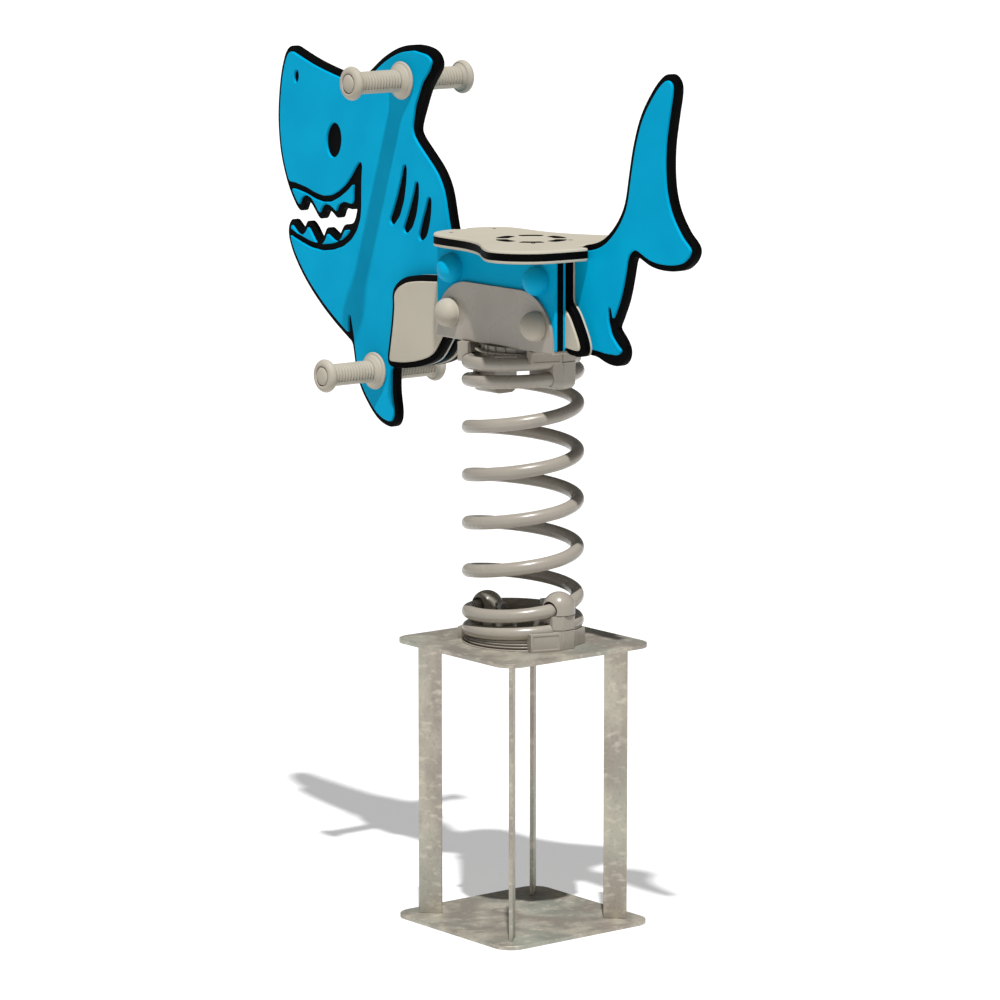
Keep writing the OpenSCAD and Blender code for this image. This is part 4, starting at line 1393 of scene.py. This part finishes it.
@dataclass
class Grips:
    """Four ribbed grips with a flange at the panel and a wheel-shaped knob at the end, and the plugs in them.

    The ribs leave a smooth strip free along the grip's underside.
    """

    flange_r: float = 28.75
    flange_round: float = 2.6
    rib_r: float = 17.0
    rib_depth: float = 2.6
    rib_steps: int = 8
    rib_round: float = 0.7
    knob_r: float = 25.5
    knob_round: float = 7.0
    knob_back: float = 7.2
    ribs: int = 13
    groove_r: float = 15.3
    groove_depth: float = 3.0
    plug_r: float = 13.7
    plug_rise: float = 2.2
    plug_sunk: float = 1.2
    strip_deg: float = 110
    strip_depth: float = 4.0
    strip_lap: tuple[float, float] = (0.4, 0.6)
    strip_steps: int = 22
    collar_len: float = 13.2
    knob_len: float = 17.8

    def stations(self, length: float) -> tuple[float, float]:
        """Where the ribs start and end, in millimetres from the panel."""
        return self.collar_len, length - self.knob_len

    def profile(self, length: float) -> Profile:
        """Profile of a grip in millimetres, from the panel to its end.

        Args:
            length: Length of the grip in millimetres.

        Returns:
            Pairs of radius and distance from the panel.
        """
        first, last = self.stations(length)
        pitch = (last - first) / self.ribs
        turned = self.flange_round
        flange = [(0.0, 0.0)] + arc((self.flange_r - turned, turned), (turned, turned), -90, 80, 9)
        collar = [(24.6, 5.4), (24.2, 5.9), (23.8, 7.2), (23.0, 8.0), (20.6, 9.6), (18.8, 11.2), (17.4, 12.6)]
        ribbed = []
        for i in range(self.rib_steps * self.ribs + 1):
            u = i / self.rib_steps
            sunk = 1 - abs(math.sin(math.pi * u)) ** self.rib_round
            ribbed.append((self.rib_r - self.rib_depth * sunk, first + pitch * u))
        flare = [(17.1, last + 0.8), (17.7, last + 1.9), (19.4, last + 3.6), (21.7, last + 5.2)]
        knob = self.knob_round
        crown = arc((self.knob_r - knob, length - self.knob_back), (knob, knob), -60, 80, 14)
        rim = [(18.2, length), (self.groove_r + 0.6, length), (self.groove_r, length - 0.7)]
        return flange + collar + ribbed + flare + crown + rim + [
            (self.groove_r, length - self.groove_depth), (0.0, length - self.groove_depth),
        ]

    def build(self) -> None:
        """Turn the grips and their plugs."""
        for bar in ("handle", "footrest"):
            for side in ("left", "right"):
                node = f"{bar}_grip_{side}"
                low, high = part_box(node)
                foot, axis = foot_of(low, high)
                length = (high.y - low.y) / MM
                bm = bmesh.new()
                lathe(bm, scaled(self.profile(length)), foot, axis, 72)
                self._strip(bm, length, foot, axis)
                name = f"{node}_ribbed"
                finished(bm, name, BEIGE_MOULDING, Body.RIDER, [node], TURNED_DEG)
                self._plug(f"{bar}_plug_{side}", length, foot, axis)

    def _strip(self, bm: BMesh, length: float, foot: Vector, axis: Vector) -> None:
        """Sweep the smooth strip along a grip's underside.

        Args:
            bm: Mesh to add to.
            length: Length of the grip in millimetres.
            foot: Middle of the grip at the panel.
            axis: Direction of the grip.
        """
        first, last = self.stations(length)
        start = Matrix.Rotation(math.radians(-self.strip_deg / 2), 3, axis) @ -UP
        inner, low, high = self.rib_r - self.strip_depth, first - self.strip_lap[0], last + self.strip_lap[1]
        corners = ((inner, low), (self.rib_r, low), (self.rib_r, high), (inner, high))
        outline = [foot + start * r * MM + axis * h * MM for r, h in corners]
        sweep(bm, outline, foot, axis, self.strip_deg, self.strip_steps)

    def _plug(self, node: str, length: float, foot: Vector, axis: Vector) -> None:
        """Turn the domed plug of one grip.

        Args:
            node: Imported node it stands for.
            length: Length of the grip in millimetres.
            foot: Middle of the grip at the panel.
            axis: Direction of the grip.
        """
        base = length - self.groove_depth
        rise = self.plug_rise + self.plug_sunk
        dome = arc((0, length - self.plug_sunk), (self.plug_r, rise), 0, 90, 12)
        bm = bmesh.new()
        lathe(bm, scaled([(0.0, base), (self.plug_r, base)] + dome), foot, axis)
        finished(bm, f"{node}_turned", BEIGE_MOULDING, Body.RIDER, [node], TURNED_DEG)


@dataclass
class BoltCovers:
    """Domed covers over the ends of the body bolts."""

    lip: float = 1.0
    lip_edge: float = 0.4
    lip_step: float = 0.3
    skirt_share: float = 0.2

    def build(self) -> None:
        """Turn the domes of both colours."""
        for node, finish, slot in (
            ("blue_covers", BLUE_MOULDING, Slot.BLUE_PLASTIC),
            ("beige_covers", BEIGE_MOULDING, Slot.BEIGE_PLASTIC),
        ):
            bm = bmesh.new()
            for low, high in solid_boxes(node):
                lathe(bm, self._dome((high.x - low.x) / 2 / MM, (high.y - low.y) / MM), *foot_of(low, high))
            finished(bm, f"{node}_domed", finish, Body.RIDER, [node], TURNED_DEG)

    def _dome(self, radius: float, height: float) -> Profile:
        """Profile of a dome with a thin lip at its foot.

        Args:
            radius: Radius in millimetres.
            height: Height in millimetres.

        Returns:
            Pairs of radius and height in metres.
        """
        skirt, inner = self.skirt_share * height, radius - self.lip_step
        lip = [(0.0, 0.0), (radius - self.lip_edge, 0.0), (radius, self.lip_edge), (radius, self.lip)]
        dome = arc((0, skirt), (inner, height - skirt), 0, 90, 20)
        return scaled(lip + [(inner, self.lip + self.lip_step)] + dome)


@dataclass
class Hardware:
    """Bolts, nuts, screws and bars that stay as they are packed."""

    nodes: tuple[str, ...] = (
        "lower_clamp_bolts", "lower_seat_bolts", "lower_seat_nuts", "upper_clamp_bolts", "saddle_bolts",
        "saddle_nuts", "seat_screws", "handle_bar", "footrest_bar", "upper_body_bolts", "lower_body_bolts",
        "body_nuts",
    )

    def build(self) -> None:
        """Plate the hardware."""
        for node in self.nodes:
            dress_node(node, BOLT_ZINC)


@dataclass
class Studio:
    """Pale floor, one high lamp with sharp shadows, dim air and the camera."""

    sun_from: tuple[float, float, float] = (-0.32, 0.24, 0.92)
    sun_strength: float = 4.3
    sun_width_deg: float = 1.5
    air: float = 0.14
    floor_side: float = 120.0
    floor_drop: float = 0.2 * MM
    eye: tuple[float, float, float] = (-5.63328, 4.49193, 1.84400)
    turn_deg: float = 51.702
    tilt_deg: float = 9.4905
    lens_mm: float = 177.29
    sensor_mm: float = 36
    sight: float = 300

    def build(self) -> None:
        """Set the stage."""
        self._floor()
        self._light()
        self._camera()

    def _floor(self) -> None:
        """Lay the floor under the anchor."""
        bm = bmesh.new()
        bmesh.ops.create_grid(bm, x_segments=1, y_segments=1, size=self.floor_side / 2)
        floor = placed(bm, "floor")
        floor.data.transform(Matrix.Translation((0, 0, -self.floor_drop)))
        floor.data.materials.append(FLOOR.material())

    def _light(self) -> None:
        """Hang the lamp and fill the air."""
        lamp = bpy.data.lights.new("key_lamp", "SUN")
        lamp.energy = self.sun_strength
        lamp.angle = math.radians(self.sun_width_deg)
        key = bpy.data.objects.new("key_lamp", lamp)
        key.rotation_euler = Vector(self.sun_from).to_track_quat("Z", "Y").to_euler()
        bpy.context.scene.collection.objects.link(key)
        world = bpy.data.worlds.new("studio_air")
        world.use_nodes = True
        world.node_tree.nodes.clear()
        air = add(world.node_tree, "ShaderNodeBackground", {"Color": linear("#ffffff"), "Strength": self.air})
        add(world.node_tree, "ShaderNodeOutputWorld", {"Surface": air.outputs[0]})
        bpy.context.scene.world = world
        bpy.context.scene.view_settings.view_transform = "Standard"

    def _camera(self) -> None:
        """Stand the camera at the photograph's place."""
        turn, tilt = math.radians(self.turn_deg), math.radians(self.tilt_deg)
        away = Vector((-math.sin(turn), math.cos(turn), 0))
        right = Vector((-math.cos(turn), -math.sin(turn), 0))
        back = away * math.cos(tilt) + UP * math.sin(tilt)
        top = UP * math.cos(tilt) - away * math.sin(tilt)
        lens = bpy.data.cameras.new("camera")
        lens.lens = self.lens_mm
        lens.sensor_width = self.sensor_mm
        lens.clip_end = self.sight
        camera = bpy.data.objects.new("camera", lens)
        camera.matrix_world = Matrix.Translation(self.eye) @ Matrix((right, top, back)).transposed().to_4x4()
        bpy.context.scene.collection.objects.link(camera)
        bpy.context.scene.camera = camera


def main() -> None:
    """Build and dress every sub-assembly, then set the stage."""
    logging.basicConfig(level=logging.INFO, format="%(name)s: %(message)s")
    for assembly in (
        GroundAnchor(), SpringClamps(), CoilSpring(), SaddleBracket(), SheetBody(), Grips(), BoltCovers(),
        Hardware(), Studio(),
    ):
        LOG.info("building %s", type(assembly).__name__)
        assembly.build()


if __name__ == "__main__":
    main()
